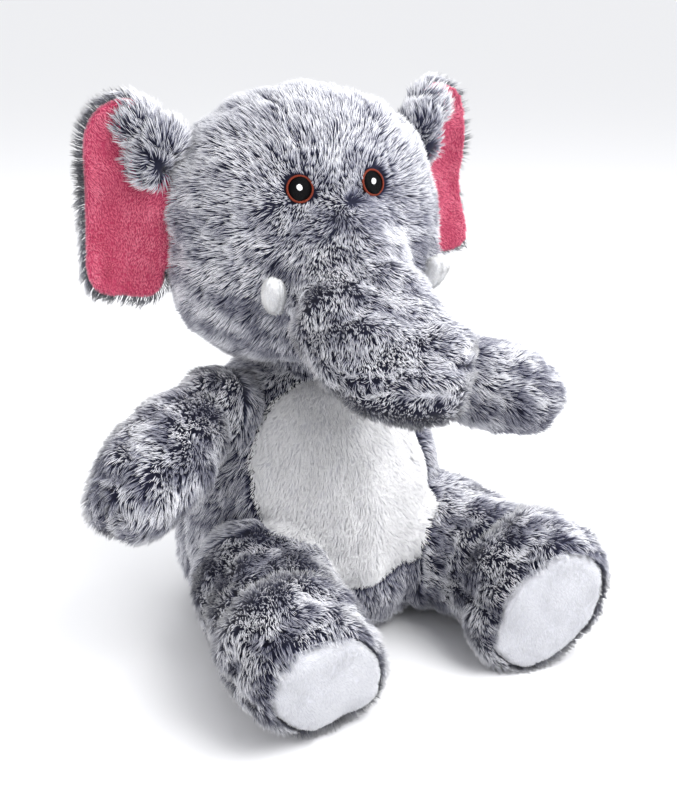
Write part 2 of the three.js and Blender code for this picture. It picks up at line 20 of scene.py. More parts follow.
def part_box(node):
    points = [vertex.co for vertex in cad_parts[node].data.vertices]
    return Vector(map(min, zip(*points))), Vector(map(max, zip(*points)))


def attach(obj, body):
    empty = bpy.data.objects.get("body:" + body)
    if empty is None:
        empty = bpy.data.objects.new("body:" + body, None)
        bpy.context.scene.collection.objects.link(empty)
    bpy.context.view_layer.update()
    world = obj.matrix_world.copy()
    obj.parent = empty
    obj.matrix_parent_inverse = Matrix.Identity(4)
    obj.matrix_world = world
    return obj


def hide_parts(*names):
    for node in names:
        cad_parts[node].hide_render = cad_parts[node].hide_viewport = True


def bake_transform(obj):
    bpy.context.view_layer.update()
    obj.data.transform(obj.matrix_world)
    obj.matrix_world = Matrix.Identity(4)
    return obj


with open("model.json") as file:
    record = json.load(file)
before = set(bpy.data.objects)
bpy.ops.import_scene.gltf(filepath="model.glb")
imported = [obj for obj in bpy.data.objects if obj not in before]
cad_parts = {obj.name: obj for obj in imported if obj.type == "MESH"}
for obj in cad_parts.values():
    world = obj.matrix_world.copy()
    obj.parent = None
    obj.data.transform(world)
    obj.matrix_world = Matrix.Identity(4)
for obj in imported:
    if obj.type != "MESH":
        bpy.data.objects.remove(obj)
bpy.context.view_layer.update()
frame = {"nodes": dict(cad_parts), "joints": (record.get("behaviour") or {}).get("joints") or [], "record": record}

MM = 0.001
FLOOR_Z = 0.0
SIDES = {"right": -1, "left": 1}
PIVOT = {j["name"]: np.array(j["pos_m"]) for j in frame["joints"]}
MAX_STRANDS = 31000  # strands in one object, so that its mesh stays a workable size
NOWHERE = np.full((1, 3), 9.0)  # stands in for the seams of a skin that has none
ASKEW = [0.31, 0.52, 0.79]  # a way that no thread runs along


# ---------- small helpers ----------
def unit(v):
    """Vectors scaled to length one."""
    v = np.asarray(v, float)
    return v / np.maximum(np.linalg.norm(v, axis=-1, keepdims=True), 1e-12)


def dot(a, b):
    return (a * b).sum(-1)


def gap(points, place):
    """How far points are from a place."""
    return np.linalg.norm(points - place, axis=1)


def mm(*values):
    """Measures given in millimetres, as an array in metres."""
    return np.array(values) * MM


def smooth_step(x, low, high):
    t = np.clip((x - low) / (high - low), 0, 1)
    return t * t * (3 - 2 * t)


def bump(distance, width):
    """A bell shape: one at no distance, and nearly nothing past twice the width."""
    return np.exp(-((distance / width) ** 2))


def reach_in(points, place, radii):
    """How far points are from a place, in radii of its own along X, Y and Z."""
    return np.linalg.norm((points - place) / radii, axis=1)


def blot(points, place, width):
    """One at a place, and fading out over a width in millimetres."""
    return bump(gap(points, place), width * MM)


def fetch(items, name, width=1, kind=float):
    """A property of all the vertices, corners or faces of a mesh, of width values each."""
    values = np.zeros(len(items) * width, kind)
    items.foreach_get(name, values)
    return values


def tree_of(points):
    """A search tree that gives the nearest of the points and its index."""
    tree = KDTree(len(points))
    for index, place in enumerate(points):
        tree.insert(place, index)
    tree.balance()
    return tree


def node_points(node):
    return fetch(frame["nodes"][node].data.vertices, "co", 3).reshape(-1, 3)


def middle(node):
    low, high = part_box(node)
    return (np.array(low) + np.array(high)) / 2


def farthest(node, start):
    """The point of a node that is farthest from start."""
    points = node_points(node)
    return points[gap(points, start).argmax()]


def near_node(node):
    """A function that gives how far points are from a node."""
    tree = tree_of(node_points(node))
    return lambda points: np.array([tree.find(p)[2] for p in points])


class Waves:
    """Smooth noise in space, about one high, from sine waves of nearly one length."""

    def __init__(self, length, seed, count=22):
        rng = np.random.default_rng(seed)
        way = unit(rng.normal(size=(count, 3)))
        self.wave = way * (2 * math.pi / length * rng.uniform(0.6, 1.5, (count, 1)))
        self.phase = rng.uniform(0, 2 * math.pi, count)

    def __call__(self, points):
        waves = np.sin(points @ self.wave.T + self.phase)
        return waves.sum(1) / math.sqrt(len(self.phase) / 2)


# ---------- materials: each cloth is a material and its slot ----------
BAND_LENGTH = 0.314  # of a wave texture at scale one
THREAD_GRAIN = 0.4 * MM


def linear(red, green, blue):
    """A display colour, 0 to 255, as the linear colour that a shader takes."""
    values = np.array([red, green, blue]) / 255
    low = values / 12.92
    high = ((values + 0.055) / 1.055) ** 2.4
    return tuple(float(x) for x in np.where(values <= 0.04045, low, high)) + (1.0,)


def new_material(name, roughness, specular, sheen=0.0):
    material = bpy.data.materials.new(name)
    material.use_nodes = True
    shader = material.node_tree.nodes["Principled BSDF"]
    shader.inputs["Roughness"].default_value = roughness
    shader.inputs["Specular IOR Level"].default_value = specular
    shader.inputs["Sheen Weight"].default_value = sheen
    shader.inputs["Sheen Roughness"].default_value = 0.5
    return material, material.node_tree, shader


def maths(tree, operation, first, second):
    node = tree.nodes.new("ShaderNodeMath")
    node.operation = operation
    for socket, value in zip(node.inputs, (first, second)):
        if isinstance(value, (int, float)):
            socket.default_value = value
        else:
            tree.links.new(value, socket)
    return node.outputs[0]


def colour_by(tree, shader, value, stops):
    """Colours a material by a value. Stops give the display colour at some values."""
    node = tree.nodes.new("ShaderNodeValToRGB")
    elements = node.color_ramp.elements
    while len(elements) < len(stops):
        elements.new(0.5)
    for element, (place, colour) in zip(elements, stops.items()):
        element.position = place
        element.color = linear(*colour)
    tree.links.new(value, node.inputs[0])
    tree.links.new(node.outputs[0], shader.inputs["Base Color"])


def relief(tree, shader, height, strength, distance):
    node = tree.nodes.new("ShaderNodeBump")
    node.inputs["Strength"].default_value = strength
    node.inputs["Distance"].default_value = distance
    tree.links.new(height, node.inputs["Height"])
    tree.links.new(node.outputs[0], shader.inputs["Normal"])


def textured(tree, kind, **settings):
    """A texture node laid out on the object itself."""
    place = tree.nodes.new("ShaderNodeTexCoord")
    node = tree.nodes.new(kind)
    for name, value in settings.items():
        node.inputs[name].default_value = value
    tree.links.new(place.outputs["Object"], node.inputs["Vector"])
    return node


def pile_cloth(name, slot, shade_span, stops, roughness=0.8, sheen=0.2):
    """Pile whose colour runs from root to tip along U, moved up or down its stops by V."""
    material, tree, shader = new_material(name, roughness, 0.12, sheen)
    place = tree.nodes.new("ShaderNodeUVMap")
    place.uv_map = "OFBake"
    split = tree.nodes.new("ShaderNodeSeparateXYZ")
    tree.links.new(place.outputs[0], split.inputs[0])
    along, shade = split.outputs[:2]
    shade = maths(tree, "MULTIPLY", maths(tree, "SUBTRACT", shade, 0.5), shade_span)
    along = maths(tree, "ADD", along, maths(tree, "MULTIPLY", shade, along))
    colour_by(tree, shader, along, stops)
    return material, slot


def thread_cloth(name, dark, light, roughness, specular):
    """Thread with a fine uneven grain."""
    material, tree, shader = new_material(name, roughness, specular)
    noise = textured(tree, "ShaderNodeTexNoise", Scale=1 / THREAD_GRAIN, Detail=4)
    colour_by(tree, shader, noise.outputs[0], {0.3: dark, 0.7: light})
    relief(tree, shader, noise.outputs[0], 0.25, THREAD_GRAIN)
    return material, name


def woven_cloth(name, dark, light, pitch, roughness, specular):
    """Plain weave: two sets of fine bands that cross."""
    material, tree, shader = new_material(name, roughness, specular, sheen=0.2)
    bands = []
    for direction in ("X", "Z"):
        wave = textured(tree, "ShaderNodeTexWave", Scale=BAND_LENGTH / pitch, Distortion=0.6)
        wave.bands_direction = direction
        bands.append(wave.outputs["Fac"])
    weave = maths(tree, "MULTIPLY", maths(tree, "ADD", *bands), 0.5)
    colour_by(tree, shader, weave, {0.2: dark, 0.8: light})
    relief(tree, shader, weave, 0.4, pitch)
    return material, name


NAVY, SLATE, MID_GREY = (26, 27, 46), (58, 60, 84), (128, 129, 144)
SILVER, FROST, WHITE = (206, 207, 215), (246, 246, 250), (255, 255, 255)

GREY_FUR = pile_cloth(
    "grey_fur", "grey_fur", 0.55, {0.0: NAVY, 0.3: SLATE, 0.52: MID_GREY, 0.74: SILVER, 1.0: FROST}
)
WHITE_FUR = pile_cloth(
    "white_fur", "white_fur", 0.3, {0.0: (236, 236, 241), 0.3: (250, 250, 252), 1.0: WHITE}
)
WHITE_NAP = pile_cloth(
    "white_short_pile", "white_cloth", 0.5, {0.0: (206, 207, 214), 1.0: (240, 241, 245)}
)
TUSK_NAP = pile_cloth("tusk_short_pile", "white_cloth", 0.5, {0.0: (226, 227, 230), 1.0: WHITE})
PINK_NAP = pile_cloth(
    "pink_short_pile",
    "pink_cloth",
    0.6,
    {0.0: (160, 52, 82), 0.6: (218, 102, 130), 1.0: (238, 142, 164)},
)
FIBRE = pile_cloth(
    "fibre_filling",
    "fibre_filling",
    0.5,
    {0.0: (206, 204, 196), 0.5: (236, 235, 229), 1.0: (252, 251, 248)},
    roughness=0.95,
    sheen=0.4,
)
POUCH_CLOTH = woven_cloth("pouch_cloth", (190, 184, 168), (228, 222, 208), 0.5 * MM, 0.9, 0.4)
SATIN = woven_cloth("satin_tape", (214, 214, 216), (248, 248, 248), 0.25 * MM, 0.4, 0.5)
BLACK_THREAD = thread_cloth("black_thread", (1, 1, 2), (7, 7, 10), 0.45, 0.08)
RUST_THREAD = thread_cloth("rust_thread", (88, 30, 16), (150, 60, 36), 0.55, 0.3)
WHITE_THREAD = thread_cloth("white_thread", (222, 222, 226), WHITE, 0.45, 0.5)
GREY_THREAD = thread_cloth("grey_thread", (70, 72, 84), (118, 120, 134), 0.6, 0.4)


# ---------- objects ----------
def add_object(name, mesh, material):
    mesh.materials.append(material)
    obj = bpy.data.objects.new(name, mesh)
    bpy.context.scene.collection.objects.link(obj)
    return obj


def add_piece(name, mesh, cloth, node, body):
    """A piece that stands for a node, if any, attached to one body, or only fixed in place when given a bend
    between two.
    """
    material, slot = cloth
    obj = add_object(name, mesh, material)
    if node:
        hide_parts(node)
    if isinstance(body, str):
        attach(obj, body)
    else:
        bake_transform(obj)
    return obj


def mesh_of(name, points, loops, sizes, normals=None, uv=None):
    """A mesh from flat arrays: corner indices and how many corners each face has."""
    mesh = bpy.data.meshes.new(name)
    mesh.vertices.add(len(points))
    mesh.vertices.foreach_set("co", np.ascontiguousarray(points, np.float32).ravel())
    mesh.loops.add(len(loops))
    mesh.loops.foreach_set("vertex_index", np.ascontiguousarray(loops, np.int32))
    mesh.polygons.add(len(sizes))
    mesh.polygons.foreach_set("loop_start", starts_of(sizes).astype(np.int32))
    mesh.polygons.foreach_set("loop_total", np.asarray(sizes, np.int32))
    mesh.update(calc_edges=True)
    mesh.polygons.foreach_set("use_smooth", np.ones(len(sizes), bool))
    if uv is not None:
        layer = mesh.uv_layers.new(name="OFBake")
        layer.data.foreach_set("uv", uv[loops].astype(np.float32).ravel())
    if normals is not None:
        mesh.normals_split_custom_set_from_vertices(normals.astype(np.float32))
    return mesh


def starts_of(sizes):
    """The first corner of each face."""
    return np.concatenate([[0], np.cumsum(sizes)[:-1]])


def flat_faces(quads):
    """Corner indices and corner counts of quads. A triangle's last corner comes twice."""
    four = quads[:, 2] != quads[:, 3]
    loops = np.concatenate([quads[four].ravel(), quads[~four, :3].ravel()])
    return loops, np.repeat([4, 3], [four.sum(), (~four).sum()])


# ---------- the cloth skin that the pile grows from ----------
class Skin:
    """A closed smooth skin round the solids of some nodes, without the gaps between them."""

    def __init__(self, nodes, voxel, rounds, lumps=()):
        source = bmesh.new()
        for node in nodes:
            source.from_mesh(frame["nodes"][node].data)
        for centre, radii in lumps:
            made = bmesh.ops.create_icosphere(source, subdivisions=3, radius=1.0)
            for vertex in made["verts"]:
                vertex.co = Vector(np.array(vertex.co) * radii + centre)
        mesh = bpy.data.meshes.new("skin_source")
        source.to_mesh(mesh)
        source.free()
        obj = bpy.data.objects.new("skin_source", mesh)
        bpy.context.scene.collection.objects.link(obj)
        remesh = obj.modifiers.new("remesh", "REMESH")
        remesh.mode = "VOXEL"
        remesh.voxel_size = voxel
        graph = bpy.context.evaluated_depsgraph_get()
        made = bpy.data.meshes.new_from_object(obj.evaluated_get(graph))
        bpy.data.objects.remove(obj)
        self.read(made)
        self.keep_largest()
        self.ease([0.5, -0.51] * rounds)

    def read(self, mesh):
        self.points = fetch(mesh.vertices, "co", 3).reshape(-1, 3)
        loops = fetch(mesh.loops, "vertex_index", kind=np.int32)
        sizes = fetch(mesh.polygons, "loop_total", kind=np.int32)
        starts = starts_of(sizes)
        self.quads = np.stack([loops[starts + np.minimum(k, sizes - 1)] for k in range(4)], 1)
        bpy.data.meshes.remove(mesh)

    def keep_largest(self):
        """Drops the small closed pockets left inside."""
        group = np.arange(len(self.points))
        while True:
            low = group[self.quads].min(1)
            new = group.copy()
            for k in range(4):
                np.minimum.at(new, self.quads[:, k], low)
            new = new[new]
            if (new == group).all():
                break
            group = new
        names, counts = np.unique(group[self.quads[:, 0]], return_counts=True)
        keep = group[self.quads[:, 0]] == names[counts.argmax()]
        used, quads = np.unique(self.quads[keep], return_inverse=True)
        self.points = self.points[used]
        self.quads = quads.reshape(-1, 4)

    def ease(self, shares):
        """Moves all points a share of the way to the middle of their neighbours, in turn."""
        pairs = np.concatenate([self.quads[:, [k, (k + 1) % 4]] for k in range(4)])
        pairs = pairs[pairs[:, 0] != pairs[:, 1]]
        own, other = np.concatenate([pairs, pairs[:, ::-1]]).T
        total = len(self.points)
        count = np.bincount(own, minlength=total)[:, None]
        for share in shares:
            around = [np.bincount(own, self.points[other, k], total) for k in range(3)]
            self.points = self.points + share * (np.stack(around, 1) / count - self.points)
        self.refresh()

    def refresh(self):
        """The points' normals and the skin's triangles."""
        corners = self.points[self.quads]
        facing = np.cross(corners[:, 2] - corners[:, 0], corners[:, 3] - corners[:, 1])
        total = len(self.points)
        normals = [
            sum(np.bincount(self.quads[:, c], facing[:, k], total) for c in range(4))
            for k in range(3)
        ]
        self.normals = unit(np.stack(normals, 1))
        self.triangles = np.concatenate([self.quads[:, [0, 1, 2]], self.quads[:, [0, 2, 3]]])
        self.triangles = self.triangles[self.triangles[:, 1] != self.triangles[:, 2]]

    def name_pieces(self, nodes, hidden=None, adjust=None):
        """Gives each face the node that it stands for, and finds the seams between them.

        Hidden says which two nodes meet without a seam. Adjust may change what the points at
        some places stand for.
        """
        self.nodes = nodes
        self.hidden = hidden or (lambda first, last: False)
        self.adjust = adjust or (lambda points, found: found)
        points, faces, owner = [], [], []
        for index, node in enumerate(nodes):
            mesh = frame["nodes"][node].data
            start = len(points)
            points += [v.co.copy() for v in mesh.vertices]
            faces += [[start + i for i in p.vertices] for p in mesh.polygons]
            owner += [index] * len(mesh.polygons)
        self.owner = np.array(owner)
        self.tree = BVHTree.FromPolygons(points, faces)
        self.find_seams()

    def find_seams(self):
        self.face_piece = self.piece_at(self.points[self.quads].mean(1))
        first = np.full(len(self.points), len(self.nodes))
        last = np.full(len(self.points), -1)
        for k in range(4):
            np.minimum.at(first, self.quads[:, k], self.face_piece)
            np.maximum.at(last, self.quads[:, k], self.face_piece)
        mixed = np.flatnonzero(first != last)
        names = [(self.nodes[first[i]], self.nodes[last[i]]) for i in mixed]
        hidden = np.array([self.hidden(*pair) for pair in names], bool)
        self.joins = self.points[mixed[hidden]]
        seams = self.points[mixed[~hidden]]
        self.seams = tree_of(seams if len(seams) else NOWHERE)

    def piece_at(self, points):
        found = self.owner[[self.tree.find_nearest(Vector(p))[2] for p in points]]
        return self.adjust(points, found)

    def seam_distance(self, points):
        """How far points are from the nearest seam, and the way from the seam to them."""
        found = [self.seams.find(p) for p in points]
        away = points - np.array([f[0] for f in found])
        return np.array([f[2] for f in found]), away

    def join_distance(self):
        """How far each point of the skin is from a hidden join."""
        tree = tree_of(self.joins)
        return np.array([tree.find(p)[2] for p in self.points])

    def soften(self, share, rounds):
        """Fills hollows and rounds ridges where share is one, and leaves the rest alone."""
        self.ease([0.5 * share[:, None]] * rounds)
        self.find_seams()

    def press(self, amount):
        """Moves the points inwards by an amount each."""
        self.points = self.points - self.normals * amount[:, None]
        self.refresh()

    def scatter(self, density, rng):
        """Points spread evenly over the skin, with their normals. Density is per square metre."""
        a, b, c = (self.points[self.triangles[:, k]] for k in range(3))
        area = np.linalg.norm(np.cross(b - a, c - a), axis=1) / 2
        count = int(area.sum() * density)
        chosen = rng.choice(len(area), count, p=area / area.sum())
        u, v = rng.random((2, count, 1))
        u, v = np.where(u + v > 1, 1 - u, u), np.where(u + v > 1, 1 - v, v)
        a, b, c = a[chosen], b[chosen], c[chosen]
        points = a + u * (b - a) + v * (c - a)
        na, nb, nc = (self.normals[self.triangles[chosen, k]] for k in range(3))
        return points, unit(na + u * (nb - na) + v * (nc - na))

    def lay(self, points, lift):
        """Points brought on to the skin, and then lifted off it."""
        tree = tree_of(self.points)
        near = [[index for _, index, _ in tree.find_n(p, 6)] for p in points]
        normals = unit(self.normals[near].mean(1))
        height = dot(points - self.points[near].mean(1), normals)
        return points + normals * (lift - height)[:, None]

    def hold(self, points, depth):
        """Points moved to lie at least a depth inside the skin, where they are near it."""
        tree = tree_of(self.points)
        found = [tree.find(p) for p in points]
        near = np.array([f[1] for f in found])
        out = dot(points - self.points[near], self.normals[near]) + depth
        move = np.where(np.array([f[2] for f in found]) < 9 * MM, np.maximum(out, 0), 0)
        return points - self.normals[near] * move[:, None]

    def backing(self, index):
        """The cloth of one piece: its points, their normals, and its faces."""
        used, quads = np.unique(self.quads[self.face_piece == index], return_inverse=True)
        return self.points[used], self.normals[used], quads.reshape(-1, 4)


# ---------- pile ----------
@dataclass
class Pile:
    """How one kind of pile stands. Sizes are in metres."""

    density: float  # strands to a square millimetre
    length: float
    width: float
    lifts: tuple  # degrees from the cloth, of the lower half and of the upper half
    sway: float  # degrees that the combed way wanders
    clump: float  # how far the tips draw together
    spread: float  # between clumps
    flat: bool = False  # a short nap without a bend


FUR = Pile(1.4, 8.4 * MM, 0.4 * MM, (58, 30), 15, 0.5, 1.9 * MM)
HEAD_FUR = Pile(1.5, 7.4 * MM, 0.38 * MM, (56, 30), 12, 0.44, 1.6 * MM)
EAR_FUR = Pile(1.4, 9.4 * MM, 0.4 * MM, (50, 24), 16, 0.5, 2.1 * MM)
BELLY_FUR = Pile(2.3, 5.6 * MM, 0.36 * MM, (38, 14), 8, 0.15, 1.5 * MM)
SHORT = Pile(3.6, 1.4 * MM, 0.4 * MM, (66, 40), 30, 0.0, 1.0 * MM, flat=True)
SHORT_PINK = Pile(2.8, 1.6 * MM, 0.46 * MM, (62, 36), 30, 0.3, 1.3 * MM, flat=True)

SWIRL = Waves(46 * MM, seed=1)
PART = Waves(17 * MM, seed=2)
PART_LIFT = Waves(15 * MM, seed=3)
MOTTLE = Waves(13 * MM, seed=4)
MOTTLE_WIDE = Waves(34 * MM, seed=5)

# How a piece's pile looks, where its plan says nothing else. A plan also gives the piece's name,
# pile, cloth, comb and body, and may give functions of place: bare, scale and shade, the last
# mostly painted light and shade in the pile's colour.
PLAN = {
    "part": 2.6 * MM,  # how wide the pile parts at a seam
    "away": 0.8,  # how strongly it is combed away from the seam there
    "thin": 0.4,  # how much shorter it is there
    "rim": 0.0,  # how much paler it is beside the seam
    "tone": 0.0,  # how much paler it is all over
    "mottle": 1.0,  # how strongly it is blotched, as a number or a function of place
    "dark": 0.08,  # the share of dark strands
}


def turned(vectors, axes, angles):
    """Vectors turned about axes at right angles to them, by angles in radians."""
    c, s = np.cos(angles)[:, None], np.sin(angles)[:, None]
    return vectors * c + np.cross(axes, vectors) * s


def comb_strands(points, normals, ways, pile, rng, scale):
    """The middle and tip of each strand, bent over the way it is combed, and drawn into clumps."""
    count = len(points)
    ways = ways - normals * dot(ways, normals)[:, None]
    ways = unit(ways + 1e-6 * np.cross(normals, [0.3, 0.5, 0.8]))
    sway = pile.sway * (0.55 * SWIRL(points) + 0.75 * PART(points)) + rng.normal(0, 9, count)
    ways = turned(ways, normals, np.radians(np.clip(sway, -100, 100)))
    lift = 7 * PART_LIFT(points) + rng.normal(0, 5, count)
    length = pile.length * scale * rng.uniform(0.8, 1.1, count)
    steps = []
    for angle in pile.lifts:
        a = np.radians(np.clip(angle + lift, 5, 85))[:, None]
        steps.append(0.5 * length[:, None] * (normals * np.sin(a) + ways * np.cos(a)))
    mid = points + steps[0]
    tip = mid + steps[1]
    if pile.clump > 0 and count > 40:
        leaders = np.arange(0, count, max(1, int(pile.density * (pile.spread / MM) ** 2)))
        tree = tree_of(points[leaders])
        near = leaders[[tree.find(p)[1] for p in points]]
        share = pile.clump * rng.uniform(0.55, 1.1, (count, 1))
        tip = tip + share * (tip[near] - tip)
        mid = mid + 0.35 * share * (mid[near] - mid)
    return mid, tip


def strand_mesh(name, points, normals, mid, tip, pile, shade, rng, backing=None):
    """Closed spindles from root to tip, bent at their middle, with the cloth they grow from."""
    count = len(points)
    axis = unit(tip - points)
    side = unit(np.cross(normals, axis))
    up = np.cross(axis, side)
    width = pile.width * rng.uniform(0.75, 1.2, (count, 1)) / 2
    rings, soft = [], []
    for turn in np.radians([90, 210, 330]):
        out = math.cos(turn) * side + math.sin(turn) * up
        rings.append((points if pile.flat else mid) + out * width)
        soft.append(unit(0.6 * normals + 0.4 * out))
    verts = [*rings, tip]
    bend = [*soft, unit(0.7 * normals + 0.3 * axis)]
    apart = [-0.02, 0.0, 0.02, 0.0]
    if pile.flat:
        pattern = np.array([[0, 1, 3], [1, 2, 3], [2, 0, 3]])
        along = [0.35, 0.35, 0.35, 1.0]
    else:
        verts.insert(0, points - normals * (0.3 * MM))
        bend.insert(0, normals)
        pattern = np.array([[2, 1, 0], [3, 2, 0], [1, 3, 0], [1, 2, 4], [2, 3, 4], [3, 1, 4]])
        along = [0.0, 0.52, 0.52, 0.52, 1.0]
        apart.insert(0, 0.0)
    verts = np.stack(verts, 1).reshape(-1, 3)
    bend = np.stack(bend, 1).reshape(-1, 3)
    loops = (pattern[None] + len(along) * np.arange(count)[:, None, None]).reshape(-1)
    sizes = np.full(count * len(pattern), 3)
    uv = np.stack([np.tile(along, count), (shade[:, None] + apart).reshape(-1)], 1)
    if backing is not None:
        cloth_points, cloth_normals, quads = backing
        cloth_loops, cloth_sizes = flat_faces(quads)
        spot = np.arange(len(cloth_points))
        cloth_uv = [0.02 + 0.02 * np.sin(spot * 1.7), 0.5 + 0.2 * np.sin(spot * 2.3)]
        loops = np.concatenate([loops, cloth_loops + len(verts)])
        sizes = np.concatenate([sizes, cloth_sizes])
        verts = np.concatenate([verts, cloth_points])
        bend = np.concatenate([bend, cloth_normals])
        uv = np.concatenate([uv, np.stack(cloth_uv, 1)])
    verts[:, 2] = np.maximum(verts[:, 2], FLOOR_Z + 0.2 * MM)
    return mesh_of(name, verts, loops, sizes, bend, np.clip(uv, 0.001, 0.999))


def grow(skin, plans, seed):
    """Grows each piece's pile on one skin, by its plan."""
    rng = np.random.default_rng(seed)
    most = max(plan["pile"].density for plan in plans.values()) / MM**2
    points, normals = skin.scatter(most, rng)
    piece = skin.piece_at(points)
    seam, away = skin.seam_distance(points)
    for node, plan in plans.items():
        plan = PLAN | plan
        index = skin.nodes.index(node)
        pile = plan["pile"]
        mine = piece == index
        mine &= rng.random(len(points)) < pile.density / MM**2 / most
        if "bare" in plan:
            mine &= ~plan["bare"](points)
        p, n = points[mine], normals[mine]
        near_seam = bump(seam[mine], plan["part"])
        ways = unit(plan["comb"](p, n))
        ways = unit(ways + unit(away[mine]) * (plan["away"] * near_seam)[:, None])
        scale = 1 - plan["thin"] * near_seam
        if "scale" in plan:
            scale = scale * plan["scale"](p)
        mid, tip = comb_strands(p, n, ways, pile, rng, scale)
        mottle = 0.13 * MOTTLE(p) + 0.09 * MOTTLE_WIDE(p)
        strength = plan["mottle"](p) if callable(plan["mottle"]) else plan["mottle"]
        # Near a seam the strands are darkened as painted shade in the seam, on top of the dark roots that the
        # parting itself shows.
        shade = 0.5 + strength * mottle - 0.18 * near_seam + rng.normal(0, 0.13, len(p))
        shade += plan["tone"] + plan["rim"] * bump(seam[mine] - 6 * MM, 3.2 * MM)
        # The plan's own shade, mostly painted light and shade.
        if "shade" in plan:
            shade = shade + plan["shade"](p)
        dark = rng.random(len(p)) < plan["dark"]
        shade = np.clip(np.where(dark, shade - 0.45, shade), 0.03, 0.97)
        parts = max(1, math.ceil(len(p) / MAX_STRANDS))
        for k in range(parts):
            strands = [values[k::parts] for values in (p, n, mid, tip)]
            name = plan["name"] if parts == 1 else f"{plan['name']}_{k + 1}"
            backing = None if k else skin.backing(index)
            mesh = strand_mesh(name, *strands, pile, shade[k::parts], rng, backing)
            obj = add_piece(name, mesh, plan["cloth"], None if k else node, plan["body"])


bends = {}  # how each limb's skin and filling bend between two bodies


def straight_blend(parent, child, start, way, begin, end):
    bends[child] = (parent, child, tuple(start + way * begin), tuple(start + way * end))
    return bends[child]


def steady(way):
    return lambda points, normals: np.tile(way, (len(points), 1))


# ---------- the body: torso, arms and legs under one skin ----------
TORSO_NODES = ["torso_back_panel", "torso_front_right", "torso_front_left", "belly_panel"]
NECK = PIVOT["head_turn"]
BELLY_LOW, BELLY_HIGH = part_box("belly_panel")
PARTING = (BELLY_LOW.x + BELLY_HIGH.x) / 2 + 0.06 * (BELLY_HIGH.x - BELLY_LOW.x)
KNEE = 44 * MM  # from the hip, where the leg's skin folds


def limb_way(node, pivot):
    return unit(farthest(node, pivot) - pivot)


def torso_comb(points, normals):
    """Downwards, and a little away from the middle of the back and the front."""
    ways = np.tile([0.0, 0.0, -1.0], (len(points), 1))
    ways[:, 0] = 0.35 * np.sign(points[:, 0] - NECK[0]) * smooth_step(np.abs(points[:, 0]), 0, 0.05)
    under = smooth_step(-normals[:, 2], 0.5, 0.9)
    centre = np.array([NECK[0], NECK[1], 0])
    return ways + under[:, None] * unit(points - centre) * 1.2


def belly_height(points):
    """How high points are on the belly, from 0 to 1."""
    return (points[:, 2] - BELLY_LOW.z) / (BELLY_HIGH.z - BELLY_LOW.z)


def belly_comb(points, normals):
    """Two sheaves that fall away from an upright parting low on the belly."""
    lean = 0.25 + 0.5 * smooth_step(belly_height(points), 0.75, 0.2)
    lean = np.tanh((points[:, 0] - PARTING) / (12 * MM)) * lean
    return np.stack([lean, np.zeros(len(points)), -np.ones(len(points))], 1)


def belly_painted_parting_shade(points):
    """Painted shade in the strands along the parting, where the pile falls apart and the cloth shows."""
    height = belly_height(points)
    reach = smooth_step(height, 0.46, 0.3) * smooth_step(height, 0.04, 0.12)
    return -0.5 * bump(points[:, 0] - PARTING, 1.3 * MM) * reach


def keep_belly_oval(points, found):
    """What lies outside the belly's oval stands for the front panel beside it."""
    low, high = BELLY_LOW, BELLY_HIGH
    across = (points[:, 0] - (low.x + high.x) / 2) / ((high.x - low.x) / 2)
    rise = (points[:, 2] - (low.z + high.z) / 2) / ((high.z - low.z) / 2)
    outside = (across**2 + rise**2 > 1.06) | (points[:, 1] < low.y - 2 * MM)
    right, left = (TORSO_NODES.index(f"torso_front_{side}") for side in SIDES)
    beside = np.where(points[:, 0] > 0, left, right)
    return np.where((found == TORSO_NODES.index("belly_panel")) & outside, beside, found)


def toe_painted_shade(side):
    """Painted shade: darker pile in the creases where the toe stitches draw the paw in."""
    reaches = [near_node(f"toe_stitch_{side}_{k}") for k in (1, 2)]
    return lambda points: -0.5 * bump(np.minimum(*(reach(points) for reach in reaches)), 5 * MM)


def body_creases(skin):
    """How far the skin is drawn in, at its seams, knees and toe stitches."""
    points = skin.points
    seam, _ = skin.seam_distance(points)
    amount = 1.5 * MM * bump(seam, 3.2 * MM)
    amount += 0.5 * MM * Waves(24 * MM, seed=11)(points)
    for side, sign in SIDES.items():
        hip = PIVOT[f"leg_raise_{side}"]
        way = unit(middle(f"sole_{side}") - hip)
        along = dot(points - hip, way)
        reach = np.linalg.norm(points - hip - along[:, None] * way, axis=1)
        wave = 3.0 * MM * np.sin((points[:, 0] - hip[0]) / (14 * MM) + sign)
        knee = along - KNEE - wave
        over = smooth_step(points[:, 2], 0.035, 0.055)
        fold = 5.0 * bump(knee, 3.6 * MM) - 2.0 * bump(knee - 12 * MM, 8 * MM)
        leg = (along > 10 * MM) & (reach < 0.05)
        amount += np.where(leg, over * fold, 0) * MM
        for k in (1, 2):
            toe = near_node(f"toe_stitch_{side}_{k}")(points)
            amount += 4.2 * MM * bump(toe, 3.2 * MM)
    return amount


